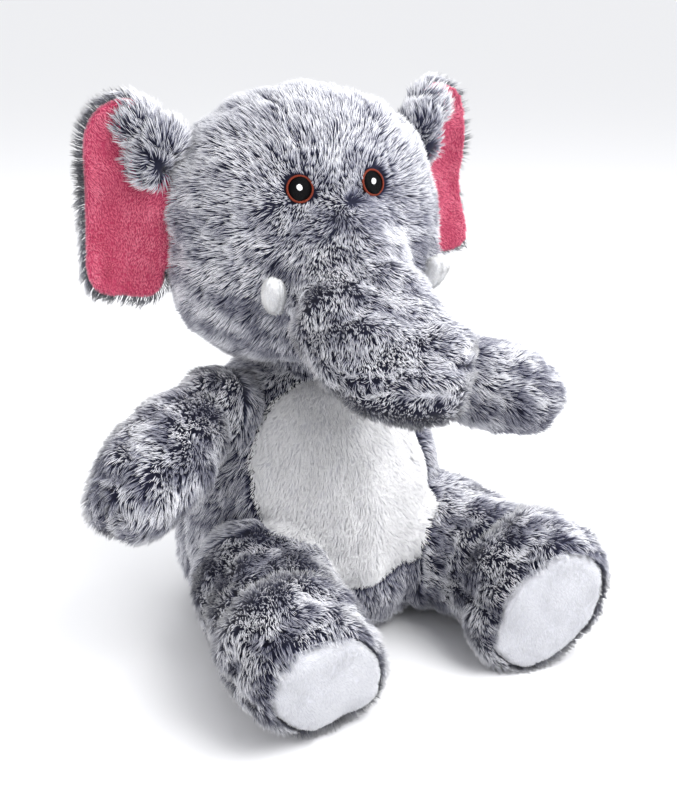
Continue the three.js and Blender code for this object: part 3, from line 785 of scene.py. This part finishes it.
def build_body():
    nodes = TORSO_NODES + ["torso_stuffing", "neck_stuffing"]
    skins = list(TORSO_NODES)
    for side in SIDES:
        arm = [f"arm_front_panel_{side}", f"arm_back_panel_{side}"]
        leg = [f"leg_upper_panel_{side}", f"leg_lower_panel_{side}", f"sole_{side}"]
        skins += arm + leg
        nodes += arm + leg + [f"arm_stuffing_{side}", f"leg_stuffing_{side}"]
    skin = Skin(nodes, voxel=2.3 * MM, rounds=9)
    skin.name_pieces(
        skins,
        hidden=lambda first, last: first in TORSO_NODES and last not in TORSO_NODES,
        adjust=keep_belly_oval,
    )
    share = 0.6 * bump(skin.join_distance(), 8 * MM)
    for side in SIDES:
        shoulder = PIVOT[f"arm_raise_{side}"] + mm(0, 0, 10)
        above = smooth_step(skin.points[:, 2], shoulder[2] - 14 * MM, shoulder[2] + 4 * MM)
        share = np.maximum(share, above * blot(skin.points, shoulder, 26))
    skin.soften(share, rounds=70)
    skin.press(body_creases(skin))

    plans = {}
    for node in TORSO_NODES:
        name = node.replace("_panel", "") + "_pile"
        plans[node] = dict(name=name, pile=FUR, cloth=GREY_FUR, comb=torso_comb, body="torso")
        plans[node].update(mottle=1.2, dark=0.1, tone=-0.04)
    belly = plans["belly_panel"]
    belly.update(pile=BELLY_FUR, cloth=WHITE_FUR, comb=belly_comb, shade=belly_painted_parting_shade)
    belly.update(mottle=0.6, dark=0.0, tone=0.0)
    for side in SIDES:
        shoulder = PIVOT[f"arm_raise_{side}"]
        hip = PIVOT[f"leg_raise_{side}"]
        arm_way = limb_way(f"arm_front_panel_{side}", shoulder)
        leg_way = unit(middle(f"sole_{side}") - hip)
        arm_bend = straight_blend(
            "torso", f"arm_{side}", shoulder, arm_way, begin=6 * MM, end=44 * MM
        )
        leg_bend = straight_blend(
            "torso", f"leg_{side}", hip, leg_way, begin=4 * MM, end=46 * MM
        )
        fur = dict(pile=FUR, cloth=GREY_FUR, thin=0.15)
        arm = dict(fur, comb=steady(arm_way), mottle=2.4, tone=0.04, away=0.3, body=arm_bend)
        arm.update(shade=toe_painted_shade(side))
        leg = dict(fur, comb=steady(leg_way), mottle=3.0, tone=0.09, away=-0.3, body=leg_bend)
        limbs = {"arm_front": arm, "arm_back": arm, "leg_upper": leg, "leg_lower": leg}
        for part, plan in limbs.items():
            plans[f"{part}_panel_{side}"] = dict(plan, name=f"{part}_pile_{side}")
        sole = dict(name=f"sole_pile_{side}", pile=SHORT, cloth=WHITE_NAP, body=f"leg_{side}")
        sole.update(comb=steady((0.2, 0, -1)), mottle=0.5, dark=0.0, part=0.8 * MM)
        plans[f"sole_{side}"] = sole
    grow(skin, plans, seed=21)
    return skin


# ---------- the head and the trunk under one skin ----------
def eye_frames():
    """Each eye's centre and the way it looks, from the shape of its patch."""
    found = {}
    head = middle("head_stuffing")
    for side in SIDES:
        points = node_points(f"eye_patch_{side}")
        centre = points.mean(0)
        way = np.linalg.svd(points - centre)[2][2]
        found[side] = (centre, way * np.sign(way @ (centre - head)))
    return found


EYES = eye_frames()
BARE_EYE = 6.3 * MM  # round each eye's middle, without pile
TRUNK_ROOT = PIVOT["trunk_lift"]
TRUNK_TIP = farthest("trunk_top_panel", TRUNK_ROOT)
FACE = np.array([TRUNK_ROOT[0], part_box("head_gusset")[0].y, EYES["right"][0][2] - 11 * MM])


def face_comb(points):
    """Away from the middle of the face, and away from each eye close to it."""
    ways = unit(points - FACE)
    back = smooth_step(points[:, 1], FACE[1] + 0.07, FACE[1] + 0.12)
    ways = ways + back[:, None] * np.array([0, 0.2, -1.4])
    for centre, _ in EYES.values():
        ways = ways + unit(points - centre) * (1.6 * blot(points, centre, 17))[:, None]
    return unit(ways)


def head_comb(points, normals):
    """From the face on to the trunk without a break: along the trunk, fanning out to its edges."""
    share = np.clip((TRUNK_ROOT[1] - points[:, 1]) / (TRUNK_ROOT[1] - TRUNK_TIP[1]), 0, 1)
    middle_x = TRUNK_ROOT[0] + (TRUNK_TIP[0] - TRUNK_ROOT[0]) * share**1.5
    across = (points[:, 0] - middle_x) / 0.036
    along = np.stack([0.7 * across + 0.1, -np.ones(len(points)), -0.75 + 1.1 * share], 1)
    mix = smooth_step(share, 0.0, 0.45)[:, None]
    return (1 - mix) * face_comb(points) + mix * unit(along)


def near_eye(points):
    """Where points lie close to an eye's own line of sight."""
    inside = np.zeros(len(points), bool)
    for side, (centre, way) in EYES.items():
        outward = mm(1.7 if side == "left" else -0.5, 0, 0.3)
        apart = points - centre - outward
        reach = np.linalg.norm(apart - dot(apart, way)[:, None] * way, axis=1)
        inside |= (reach < BARE_EYE) & (np.abs(dot(apart, way)) < 12 * MM)
    return inside


def head_scale(points):
    """Shorter pile round the eyes."""
    scale = np.ones(len(points))
    for centre, _ in EYES.values():
        scale -= 0.36 * blot(points, centre, 13)
    return scale


def head_mottle(points):
    """Even on the crown and blotched over the cheeks."""
    return 2.3 - 1.5 * smooth_step(points[:, 2], 0.195, 0.245)


def head_painted_shading(points):
    """Painted light: a painted highlight over the crown, and painted shade round the eyes and where face and trunk
    meet.
    """
    shade = 0.3 * smooth_step(points[:, 2], 0.205, 0.25) - 0.1
    for centre, _ in EYES.values():
        shade -= 0.34 * blot(points, centre, 16)
    shade -= 0.16 * blot(points, FACE, 15)
    return shade


def trunk_shade(points):
    """Darker on the tip's own left, and with the head's painted shade where the face begins."""
    tip = TRUNK_TIP + mm(-6, 8, 8)
    return head_painted_shading(points) - 0.35 * blot(points, tip, 12)


def head_creases(skin):
    """How far the skin is drawn in at its seams and eyes. The crown's top is let out."""
    points = skin.points
    seam, _ = skin.seam_distance(points)
    on_trunk = points[:, 1] < TRUNK_ROOT[1] - 0.03
    amount = np.where(on_trunk, 1.3, 0.5) * MM * bump(seam, 3.0 * MM)
    amount += 0.5 * MM * Waves(26 * MM, seed=12)(points)
    crown = points[points[:, 2].argmax()]
    amount -= 1.8 * MM * blot(points, crown, 13)
    for centre, _ in EYES.values():
        amount += 1.6 * MM * blot(points, centre, 11)
    return amount


def build_head():
    head = ["head_gusset", "head_side_right", "head_side_left"]
    trunk = ["trunk_top_panel", "trunk_underside_panel"]
    nodes = head + trunk + ["head_stuffing", "trunk_stuffing"]
    skin = Skin(nodes, voxel=2.1 * MM, rounds=9)
    skin.name_pieces(head + trunk, hidden=lambda first, last: first in head and last in trunk)
    skin.soften(bump(skin.join_distance(), 13 * MM), rounds=90)
    skin.press(head_creases(skin))
    fur = dict(pile=HEAD_FUR, cloth=GREY_FUR, comb=head_comb, bare=near_eye)
    # The face's pile takes painted light: a highlight over the crown, and shade round the eyes and at the trunk's
    # root.
    face = dict(fur, scale=head_scale, shade=head_painted_shading, mottle=head_mottle, body="head")
    face.update(tone=0.06, dark=0.05, part=1.2 * MM)
    way = unit([0.0, -1.0, -0.3])
    body = straight_blend("head", "trunk", TRUNK_ROOT, way, begin=16 * MM, end=52 * MM)
    nose = dict(fur, shade=trunk_shade, rim=0.3, thin=0.1, tone=0.17, mottle=1.2, body=body)
    plans = {node: dict(face, name=f"{node}_pile") for node in head}
    for node in trunk:
        plans[node] = dict(nose, name=node.replace("_panel", "") + "_pile")
    grow(skin, plans, seed=22)
    return skin


# ---------- ears ----------
EAR_SWEEP = math.radians(25)  # how far an ear turns back from straight out
FRONT_LAYER = 3.6 * MM  # the lining is what lies this close behind the ear's front
ear_warps = {}  # how each ear is dished, for its skin and its batting


def build_ear(side, sign):
    pivot = PIVOT[f"ear_fold_{side}"]
    back = f"ear_back_{side}"
    lining = f"ear_lining_{side}"
    low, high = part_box(back)
    facing = np.array([sign * math.sin(EAR_SWEEP), -math.cos(EAR_SWEEP), 0])
    outward = np.array([sign * math.cos(EAR_SWEEP), math.sin(EAR_SWEEP), 0])

    def on_ear(out, drop):
        """A place out from the root and below the ear's top, in millimetres."""
        place = pivot + outward * out * MM + facing * 4 * MM
        place[2] = high.z - drop * MM
        return place

    # The root's flap folds forward as three lumps of fur.
    spots = ((11, 12, 8, 8), (1, 20, 10, 9), (7, 28, 7, 11))
    lumps = [(on_ear(out, drop), mm(wide, 6.5, tall)) for out, drop, wide, tall in spots]
    flap, flap_size = on_ear(6, 19), mm(13, 8, 15)
    nodes = [back, lining, f"ear_batting_{side}"]
    skin = Skin(nodes, voxel=1.6 * MM, rounds=6, lumps=lumps)
    half_tall = (high.z - low.z) / 2
    billow = Waves(45 * MM, seed=70)

    def forward(points):
        """How far the ear is dished and rippled forward at each place on its plane."""
        plane = points - dot(points - pivot, facing)[:, None] * facing
        out = dot(plane - pivot, outward) / (high.x - low.x)
        rise = (plane[:, 2] - (low.z + high.z) / 2) / half_tall
        edge = 6.5 * np.clip(out - 0.3, 0, 1) ** 2 + 2.0 * rise**2 * out
        return (4.0 * edge - 2.0 * out + 1.2 * billow(plane) * out) * MM

    skin.name_pieces([back, lining])
    front = dot(node_points(lining) - pivot, facing).max()
    ear_warps[side] = lambda points: points + facing * forward(points)[:, None]
    skin.points = ear_warps[side](skin.points)
    skin.refresh()

    def piece_at(points):
        """The lining is all that faces forward, but for the folded flap at the root."""
        points = points - facing * forward(points)[:, None]
        ahead = dot(points - pivot, facing) > front - FRONT_LAYER
        apart = [reach_in(points, place, size + 1 * MM) for place, size in lumps]
        return np.where(ahead & (np.min(apart, axis=0) >= 1.08), 1, 0)

    skin.piece_at = piece_at
    skin.face_piece = piece_at(skin.points[skin.quads].mean(1))
    root = np.array([pivot[0], pivot[1], (low.z + high.z) / 2])

    def comb(points, normals):
        """Out from the root, and away from the pinch below the flap."""
        ways = unit(points - root) + np.array([0.25 * sign, 0, -0.25])
        on_flap = bump(reach_in(points, flap, flap_size) - 1, 0.4)
        pinch = flap + mm(0, -4, -12)
        return ways + unit(points - pinch) * (2.2 * on_flap)[:, None]

    def shade(points):
        # Painted shade at the pinch below the folded flap, and a little paler elsewhere.
        pinch = flap + mm(0, -8, -6)
        return 0.1 - 0.6 * blot(points, pinch, 8)

    def lining_painted_shade(points):
        """Painted shade: deeper under the flap and along a slanting fold down the middle."""
        under = flap + mm(0, 0, -14)
        out = np.abs(points[:, 0] - pivot[0]) / (high.x - low.x)
        rise = (points[:, 2] - low.z) / (high.z - low.z)
        fold = bump(out - 0.75 + 0.35 * rise, 0.16)
        return 0.22 - 0.5 * blot(points, under, 20) - 0.3 * fold

    way = unit([sign, -0.3, 0])
    body = straight_blend("head", f"ear_{side}", pivot, way, begin=0.0, end=12 * MM)
    fur = dict(name=f"ear_back_pile_{side}", pile=EAR_FUR, cloth=GREY_FUR, body=body)
    fur.update(comb=comb, shade=shade, tone=0.26, part=1.0 * MM)
    nap = dict(name=f"ear_lining_pile_{side}", pile=SHORT_PINK, cloth=PINK_NAP, body=body)
    nap.update(comb=steady((0.3 * sign, 0, -1)), shade=lining_painted_shade)
    nap.update(mottle=1.2, dark=0.05, part=0.8 * MM)
    grow(skin, {back: fur, lining: nap}, seed=30 + sign)


# ---------- tusks and tail ----------
def build_tusk(side, sign):
    node = f"tusk_skin_{side}"
    skin = Skin([node, f"tusk_stuffing_{side}"], voxel=1.1 * MM, rounds=6)
    skin.name_pieces([node])
    skin.press(0.7 * MM * bump(skin.points[:, 0] - middle(node)[0], 0.9 * MM))
    nap = dict(name=f"tusk_pile_{side}", pile=SHORT, cloth=TUSK_NAP, body="head")
    nap.update(comb=steady((0, -1, -0.3)), mottle=0.5, dark=0.0)
    grow(skin, {node: nap}, seed=40 + sign)


def build_tail():
    root = PIVOT["tail_swing"]
    way = limb_way("tail_tuft", root)
    skins = ["tail_fur", "tail_tuft"]
    skin = Skin(skins + ["tail_root_stuffing"], voxel=1.3 * MM, rounds=5)
    skin.name_pieces(skins)
    body = straight_blend("torso", "tail", root, way, begin=4 * MM, end=22 * MM)
    fur = dict(pile=EAR_FUR, cloth=GREY_FUR, comb=steady(way), body=body)
    plans = {
        node: dict(fur, name=f"{node}_pile", dark=dark)
        for node, dark in zip(skins, (0.1, 0.35))
    }
    grow(skin, plans, seed=50)


# ---------- threads ----------
def carried(path):
    """Each place of a path, the way it runs there, and a way beside it that never twists."""
    along = unit(np.gradient(path, axis=0))
    side = unit(np.cross(along[0], ASKEW))
    for place, way in zip(path, along):
        side = unit(side - way * (side @ way))
        yield place, way, side


class Threads:
    """Round threads along paths, gathered into one mesh."""

    CORNERS = 6  # of a thread's cross section

    def __init__(self):
        self.points, self.loops, self.sizes = [], [], []
        self.start = 0

    def add_faces(self, *corners):
        faces = np.stack(corners, 1)
        self.loops.append(faces.ravel() + self.start)
        self.sizes.append(np.full(len(faces), len(corners)))

    def add_rings(self, first, rings, last):
        """A closed form through rings of points, with one point at each end."""
        count = len(rings[0])
        points = np.concatenate([[first], *rings, [last]])
        k = np.arange(count)
        after = (k + 1) % count
        self.add_faces(0 * k, 1 + after, 1 + k)
        for here in range(1, count * (len(rings) - 1), count):
            there = here + count
            self.add_faces(here + k, here + after, there + after, there + k)
        end = len(points) - 1
        self.add_faces(0 * k + end, end - count + k, end - count + after)
        self.points.append(points)
        self.start += len(points)

    def add(self, path, radius):
        """A round thread with its ends slightly domed."""
        turns = 2 * math.pi * np.arange(self.CORNERS)[:, None] / self.CORNERS
        rings, ends = [], []
        for place, way, side in carried(path):
            ring = np.cos(turns) * side + np.sin(turns) * np.cross(way, side)
            rings.append(place + radius * ring)
            ends.append(way * radius * 0.6)
        self.add_rings(path[0] - ends[0], rings, path[-1] + ends[-1])

    def build(self, name, cloth, node, body):
        parts = [np.concatenate(values) for values in (self.points, self.loops, self.sizes)]
        add_piece(name, mesh_of(name, *parts), cloth, node, body)


def twisted(path, apart, pitch):
    """Two paths that wind round one."""
    steps = np.linalg.norm(np.diff(path, axis=0), axis=1)
    length = np.concatenate([[0], np.cumsum(steps)])
    made = [[], []]
    for (place, way, side), far in zip(carried(path), length):
        turn = 2 * math.pi * far / pitch
        out = math.cos(turn) * side + math.sin(turn) * np.cross(way, side)
        made[0].append(place + apart * out)
        made[1].append(place - apart * out)
    return made


def centre_line(node, count):
    """The line through the middle of a long thin piece."""
    points = node_points(node)
    centre = points.mean(0)
    main = np.linalg.svd(points - centre)[2][0]
    place = (points - centre) @ main
    line = []
    for at in np.linspace(place.min(), place.max(), count):
        share = bump(place - at, 4 * MM)
        line.append((points * share[:, None]).sum(0) / share.sum())
    return np.array(line)


class EyeBase:
    """The domed cloth under one eye: places on it are given in metres across and up."""

    def __init__(self, side):
        self.centre, self.way = EYES[side]
        self.up = unit(np.array([0, 0, 1]) - self.way * self.way[2])
        self.across = np.cross(self.up, self.way)
        nodes = (f"eye_patch_{side}", f"eye_outline_{side}")
        flat = np.concatenate([node_points(node) for node in nodes]) - self.centre
        a, b, height = flat @ self.across, flat @ self.up, flat @ self.way
        self.fit = np.linalg.lstsq(self.terms(a, b).T, height, rcond=None)[0]

    def terms(self, a, b):
        return np.stack([np.ones_like(a), a, b, a * a, a * b, b * b])

    def place(self, a, b, rise):
        a, b, rise = np.broadcast_arrays(a, b, rise)
        h = self.fit @ self.terms(a, b)
        h = h + 0.7 * MM * (1 - (a * a + b * b) / (7 * MM) ** 2) + rise
        return self.centre + np.outer(a, self.across) + np.outer(b, self.up) + np.outer(h, self.way)

    def around(self, radius, turns, rise):
        return self.place(radius * np.cos(turns), radius * np.sin(turns), rise)


def eye_rows(threads, base, centre, radius, tilt, pitch, width, rise):
    """Parallel satin stitches that fill a round spot."""
    c, s = math.cos(tilt), math.sin(tilt)
    for row in np.arange(-radius + pitch / 2, radius, pitch):
        half = math.sqrt(max(radius**2 - row**2, 0.0))
        t = np.linspace(-1, 1, 9)
        lift = rise - 1.3 * MM * np.abs(t) ** 10
        a = centre[0] + t * half * c - row * s
        b = centre[1] + t * half * s + row * c
        threads.add(base.place(a, b, lift), width)


def build_eye(side, sign):
    """A satin-stitched black spot, a ring of slanting rust stitches and a white highlight."""
    base = EyeBase(side)
    low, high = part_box(f"eye_patch_{side}")
    radius = (high.z - low.z) / 2

    patch = Threads()
    turns = np.linspace(0, 2 * math.pi, 28, endpoint=False)
    dome = ((1.0, -4.0), (1.0, -0.5), (0.8, -0.15), (0.45, -0.1))
    rings = [base.around(radius * share, turns, rise * MM) for share, rise in dome]
    patch.add_rings(rings[0].mean(0), rings, rings[-1].mean(0))
    eye_rows(patch, base, (0, 0), radius, 0.3 * sign, pitch=0.4 * MM, width=0.27 * MM, rise=0.0)
    patch.build(f"eye_patch_stitches_{side}", BLACK_THREAD, f"eye_patch_{side}", "head")

    outline = Threads()
    closed = np.linspace(0, 2 * math.pi, 41)
    outline.add(base.around(radius + 0.45 * MM, closed, -0.4 * MM), 0.42 * MM)
    t = np.linspace(0, 1, 6)
    lift = (0.45 * np.sin(math.pi * t) - 0.25) * MM
    for turn in np.linspace(0, 2 * math.pi, 58, endpoint=False):
        stitch = base.around(radius + 0.8 * t * MM, turn + 0.16 * t * sign, lift)
        outline.add(stitch, 0.25 * MM)
    outline.build(f"eye_outline_stitches_{side}", RUST_THREAD, f"eye_outline_{side}", "head")

    glint = Threads()
    apart = middle(f"eye_highlight_{side}") - base.centre
    spot = (apart @ base.across, apart @ base.up)
    thread = {"pitch": 0.36 * MM, "width": 0.24 * MM, "rise": 0.42 * MM}
    eye_rows(glint, base, spot, 1.5 * MM, -0.5 * sign, **thread)
    glint.build(f"eye_highlight_stitches_{side}", WHITE_THREAD, f"eye_highlight_{side}", "head")


def build_cord(name, path, apart, pitch, radius, node, body):
    """A thread of two twisted strands."""
    threads = Threads()
    for strand in twisted(path, apart, pitch):
        threads.add(strand, radius)
    threads.build(name, GREY_THREAD, node, body)


def build_stitches(body_skin):
    """The toe threads, the thread round the neck, and the ladder stitch that closes the back."""
    for side in SIDES:
        for k in (1, 2):
            node = f"toe_stitch_{side}_{k}"
            path = body_skin.lay(centre_line(node, 22), 0.5 * MM)
            name = f"toe_thread_{side}_{k}"
            build_cord(name, path, 0.36 * MM, 2.6 * MM, 0.4 * MM, node, f"arm_{side}")

    node = "neck_seam_thread"
    low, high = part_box(node)
    turns = np.linspace(0, 2 * math.pi, 121)
    circle = np.stack([np.cos(turns), np.sin(turns), 0 * turns], 1)
    circle = circle * ((high.x - low.x) / 2 - 0.8 * MM) + middle(node)
    build_cord("neck_thread", circle, 0.4 * MM, 3 * MM, 0.42 * MM, node, "neck")

    node = "closing_seam_thread"
    low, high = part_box(node)
    ladder = []
    for k, z in enumerate(np.linspace(low.z, high.z, 11)):
        sides = (-1.7, 1.7) if k % 2 == 0 else (1.7, -1.7)
        ladder += [[high.x, (low.y + high.y) / 2 + y * MM, z] for y in sides]
    ladder = np.array(ladder)
    fine = np.linspace(0, len(ladder) - 1, 6 * len(ladder))
    ladder = np.stack([np.interp(fine, np.arange(len(ladder)), x) for x in ladder.T], 1)
    threads = Threads()
    threads.add(body_skin.lay(ladder, 0.3 * MM), 0.36 * MM)
    threads.build("closing_thread", GREY_THREAD, node, "torso")


# ---------- the blank label ----------
TAPE_THICK = 0.2 * MM


def build_label():
    """A tape folded in half, with both ends caught in the side seam."""
    node = "side_seam_label"
    low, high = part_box(node)
    reach = high.x - low.x - 0.5 * MM
    half_gap = 0.3 * MM
    out = np.linspace(0, reach, 14)
    bend = np.linspace(-math.pi / 2, math.pi / 2, 9)[1:-1]
    x = np.concatenate([out, reach + half_gap * np.cos(bend), out[::-1]])
    y = np.concatenate([0 * out - half_gap, half_gap * np.sin(bend), 0 * out + half_gap])
    fold = np.stack([x, y], 1)
    along = unit(np.gradient(fold, axis=0))
    normal = np.stack([along[:, 1], -along[:, 0]], 1)
    rows = np.linspace(0, 1, 9)
    points = []
    for offset in (TAPE_THICK / 2, -TAPE_THICK / 2):
        spot = fold + normal * offset
        for share in rows:
            curl = 1.6 * MM * (x / reach) ** 2 * (share - 0.4)
            z = low.z + (high.z - low.z) * share + 0 * x
            y = (low.y + high.y) / 2 + spot[:, 1] + curl
            points.append(np.stack([low.x + spot[:, 0], y, z], 1))
    top, under = np.arange(2 * len(rows) * len(x)).reshape(2, len(rows), len(x))

    def cells(g):
        return np.stack([g[:-1, :-1], g[:-1, 1:], g[1:, 1:], g[1:, :-1]], -1).reshape(-1, 4)

    def border(g):
        return np.concatenate([g[0, :], g[1:, -1], g[-1, -2::-1], g[-2:0:-1, 0]])

    a, b = border(top), border(under)
    edge = np.stack([a, b, np.roll(b, -1), np.roll(a, -1)], 1)
    quads = np.concatenate([cells(top), cells(under)[:, ::-1], edge])
    sizes = np.full(len(quads), 4)
    mesh = mesh_of("label_tape", np.concatenate(points), quads.ravel(), sizes)
    obj = add_piece("label_tape", mesh, SATIN, node, "torso")


# ---------- filling and pellets ----------
def build_lumps(node, body, skins):
    """One piece of lumpy fibre filling, or the cloth pouch of pellets."""
    soft = node != "pellet_pouch"
    fine = "batting" in node or "tusk" in node
    skin = Skin([node], voxel=(0.9 if fine else 2.6) * MM, rounds=2)
    lumpy = np.clip(Waves((5 if fine else 11) * MM, seed=60)(skin.points), -1, 1)
    skin.press((0.12 if fine else 1.6) * MM * (1 + 0.35 * lumpy))
    if "batting" in node:
        skin.points = ear_warps[body.removeprefix("ear_")](skin.points)
    if not fine:
        for outer in skins:
            skin.points = outer.hold(skin.points, 2.2 * MM)
    uv = None
    if soft:
        lump = 0.5 + 0.22 * Waves(3.5 * MM, seed=61)(skin.points)
        fleck = 0.5 + 0.2 * Waves(2.1 * MM, seed=62)(skin.points)
        uv = np.clip(np.stack([lump, fleck], 1), 0.001, 0.999)
    mesh = mesh_of(f"{node}_lumps", skin.points, *flat_faces(skin.quads), None, uv)
    motion = bends[body] if body in bends and "tusk" not in node else body
    obj = add_piece(f"{node}_lumps", mesh, FIBRE if soft else POUCH_CLOTH, node, motion)


def build_filling(skins):
    for body, nodes in frame["record"]["behaviour"]["bodies"].items():
        for node in nodes:
            if "stuffing" in node or "batting" in node or node == "pellet_pouch":
                build_lumps(node, body, skins)


# ---------- camera, lights and floor ----------
CAMERA_AZIMUTH = math.radians(-32)
CAMERA_ELEVATION = math.radians(19)
CAMERA_DISTANCE = 0.623
CAMERA_LENS = 54.1
LOOK = Vector((0.0009, -0.0149, 0.1264))
FLOOR_REACH = 30


def build_stage():
    scene = bpy.context.scene
    link = scene.collection.objects.link
    data = bpy.data.cameras.new("camera")
    data.lens = CAMERA_LENS
    data.sensor_width = 36
    data.clip_start = 0.01
    data.clip_end = 50
    camera = bpy.data.objects.new("camera", data)
    link(camera)
    sine, cosine = math.sin(CAMERA_AZIMUTH), math.cos(CAMERA_AZIMUTH)
    level = math.cos(CAMERA_ELEVATION)
    back = Vector((sine * level, -cosine * level, math.sin(CAMERA_ELEVATION)))
    camera.location = LOOK + back * CAMERA_DISTANCE
    camera.rotation_euler = back.to_track_quat("Z", "Y").to_euler()
    scene.camera = camera

    across = Vector((cosine, sine, 0))
    front = Vector((back.x, back.y, 0)).normalized()
    up = Vector((0, 0, 1))

    def add_light(kind, name, way, power, distance=0.0):
        lamp = bpy.data.lights.new(name, kind)
        lamp.energy = power
        obj = bpy.data.objects.new(name, lamp)
        obj.location = LOOK + way.normalized() * distance
        obj.rotation_euler = way.to_track_quat("Z", "Y").to_euler()
        link(obj)
        return lamp

    add_light("AREA", "key", across * 0.75 + front * 0.55 + up * 0.95, 17, 1.3).size = 0.9
    fill = add_light("AREA", "fill", across * -0.9 + front * 0.7 + up * 0.25, 5, 1.4)
    fill.size, fill.color = 1.2, (1.0, 0.98, 0.96)
    top = add_light("AREA", "top", front * -0.5 + up * 1.2, 6, 1.4)
    top.size, top.color = 1.0, (0.97, 0.98, 1.0)
    add_light("SUN", "ceiling", across * 0.3 + up, 0.9).angle = math.radians(60)

    world = bpy.data.worlds.new("studio")
    world.use_nodes = True
    sky = world.node_tree.nodes["Background"]
    sky.inputs["Color"].default_value = (0.93, 0.94, 0.96, 1)
    sky.inputs["Strength"].default_value = 0.74
    scene.world = world
    floor_mesh = bpy.data.meshes.new("floor")
    shape = bmesh.new()
    bmesh.ops.create_grid(shape, x_segments=8, y_segments=8, size=FLOOR_REACH)
    shape.to_mesh(floor_mesh)
    shape.free()
    material, _, shader = new_material("floor", 0.9, 0.1)
    shader.inputs["Base Color"].default_value = (0.9, 0.9, 0.91, 1)
    add_object("floor", floor_mesh, material)
    scene.view_settings.view_transform = "Standard"


body_skin = build_body()
head_skin = build_head()
for side_name, side_sign in SIDES.items():
    build_ear(side_name, side_sign)
    build_tusk(side_name, side_sign)
    build_eye(side_name, side_sign)
build_tail()
build_stitches(body_skin)
build_label()
build_filling([body_skin, head_skin])
build_stage()
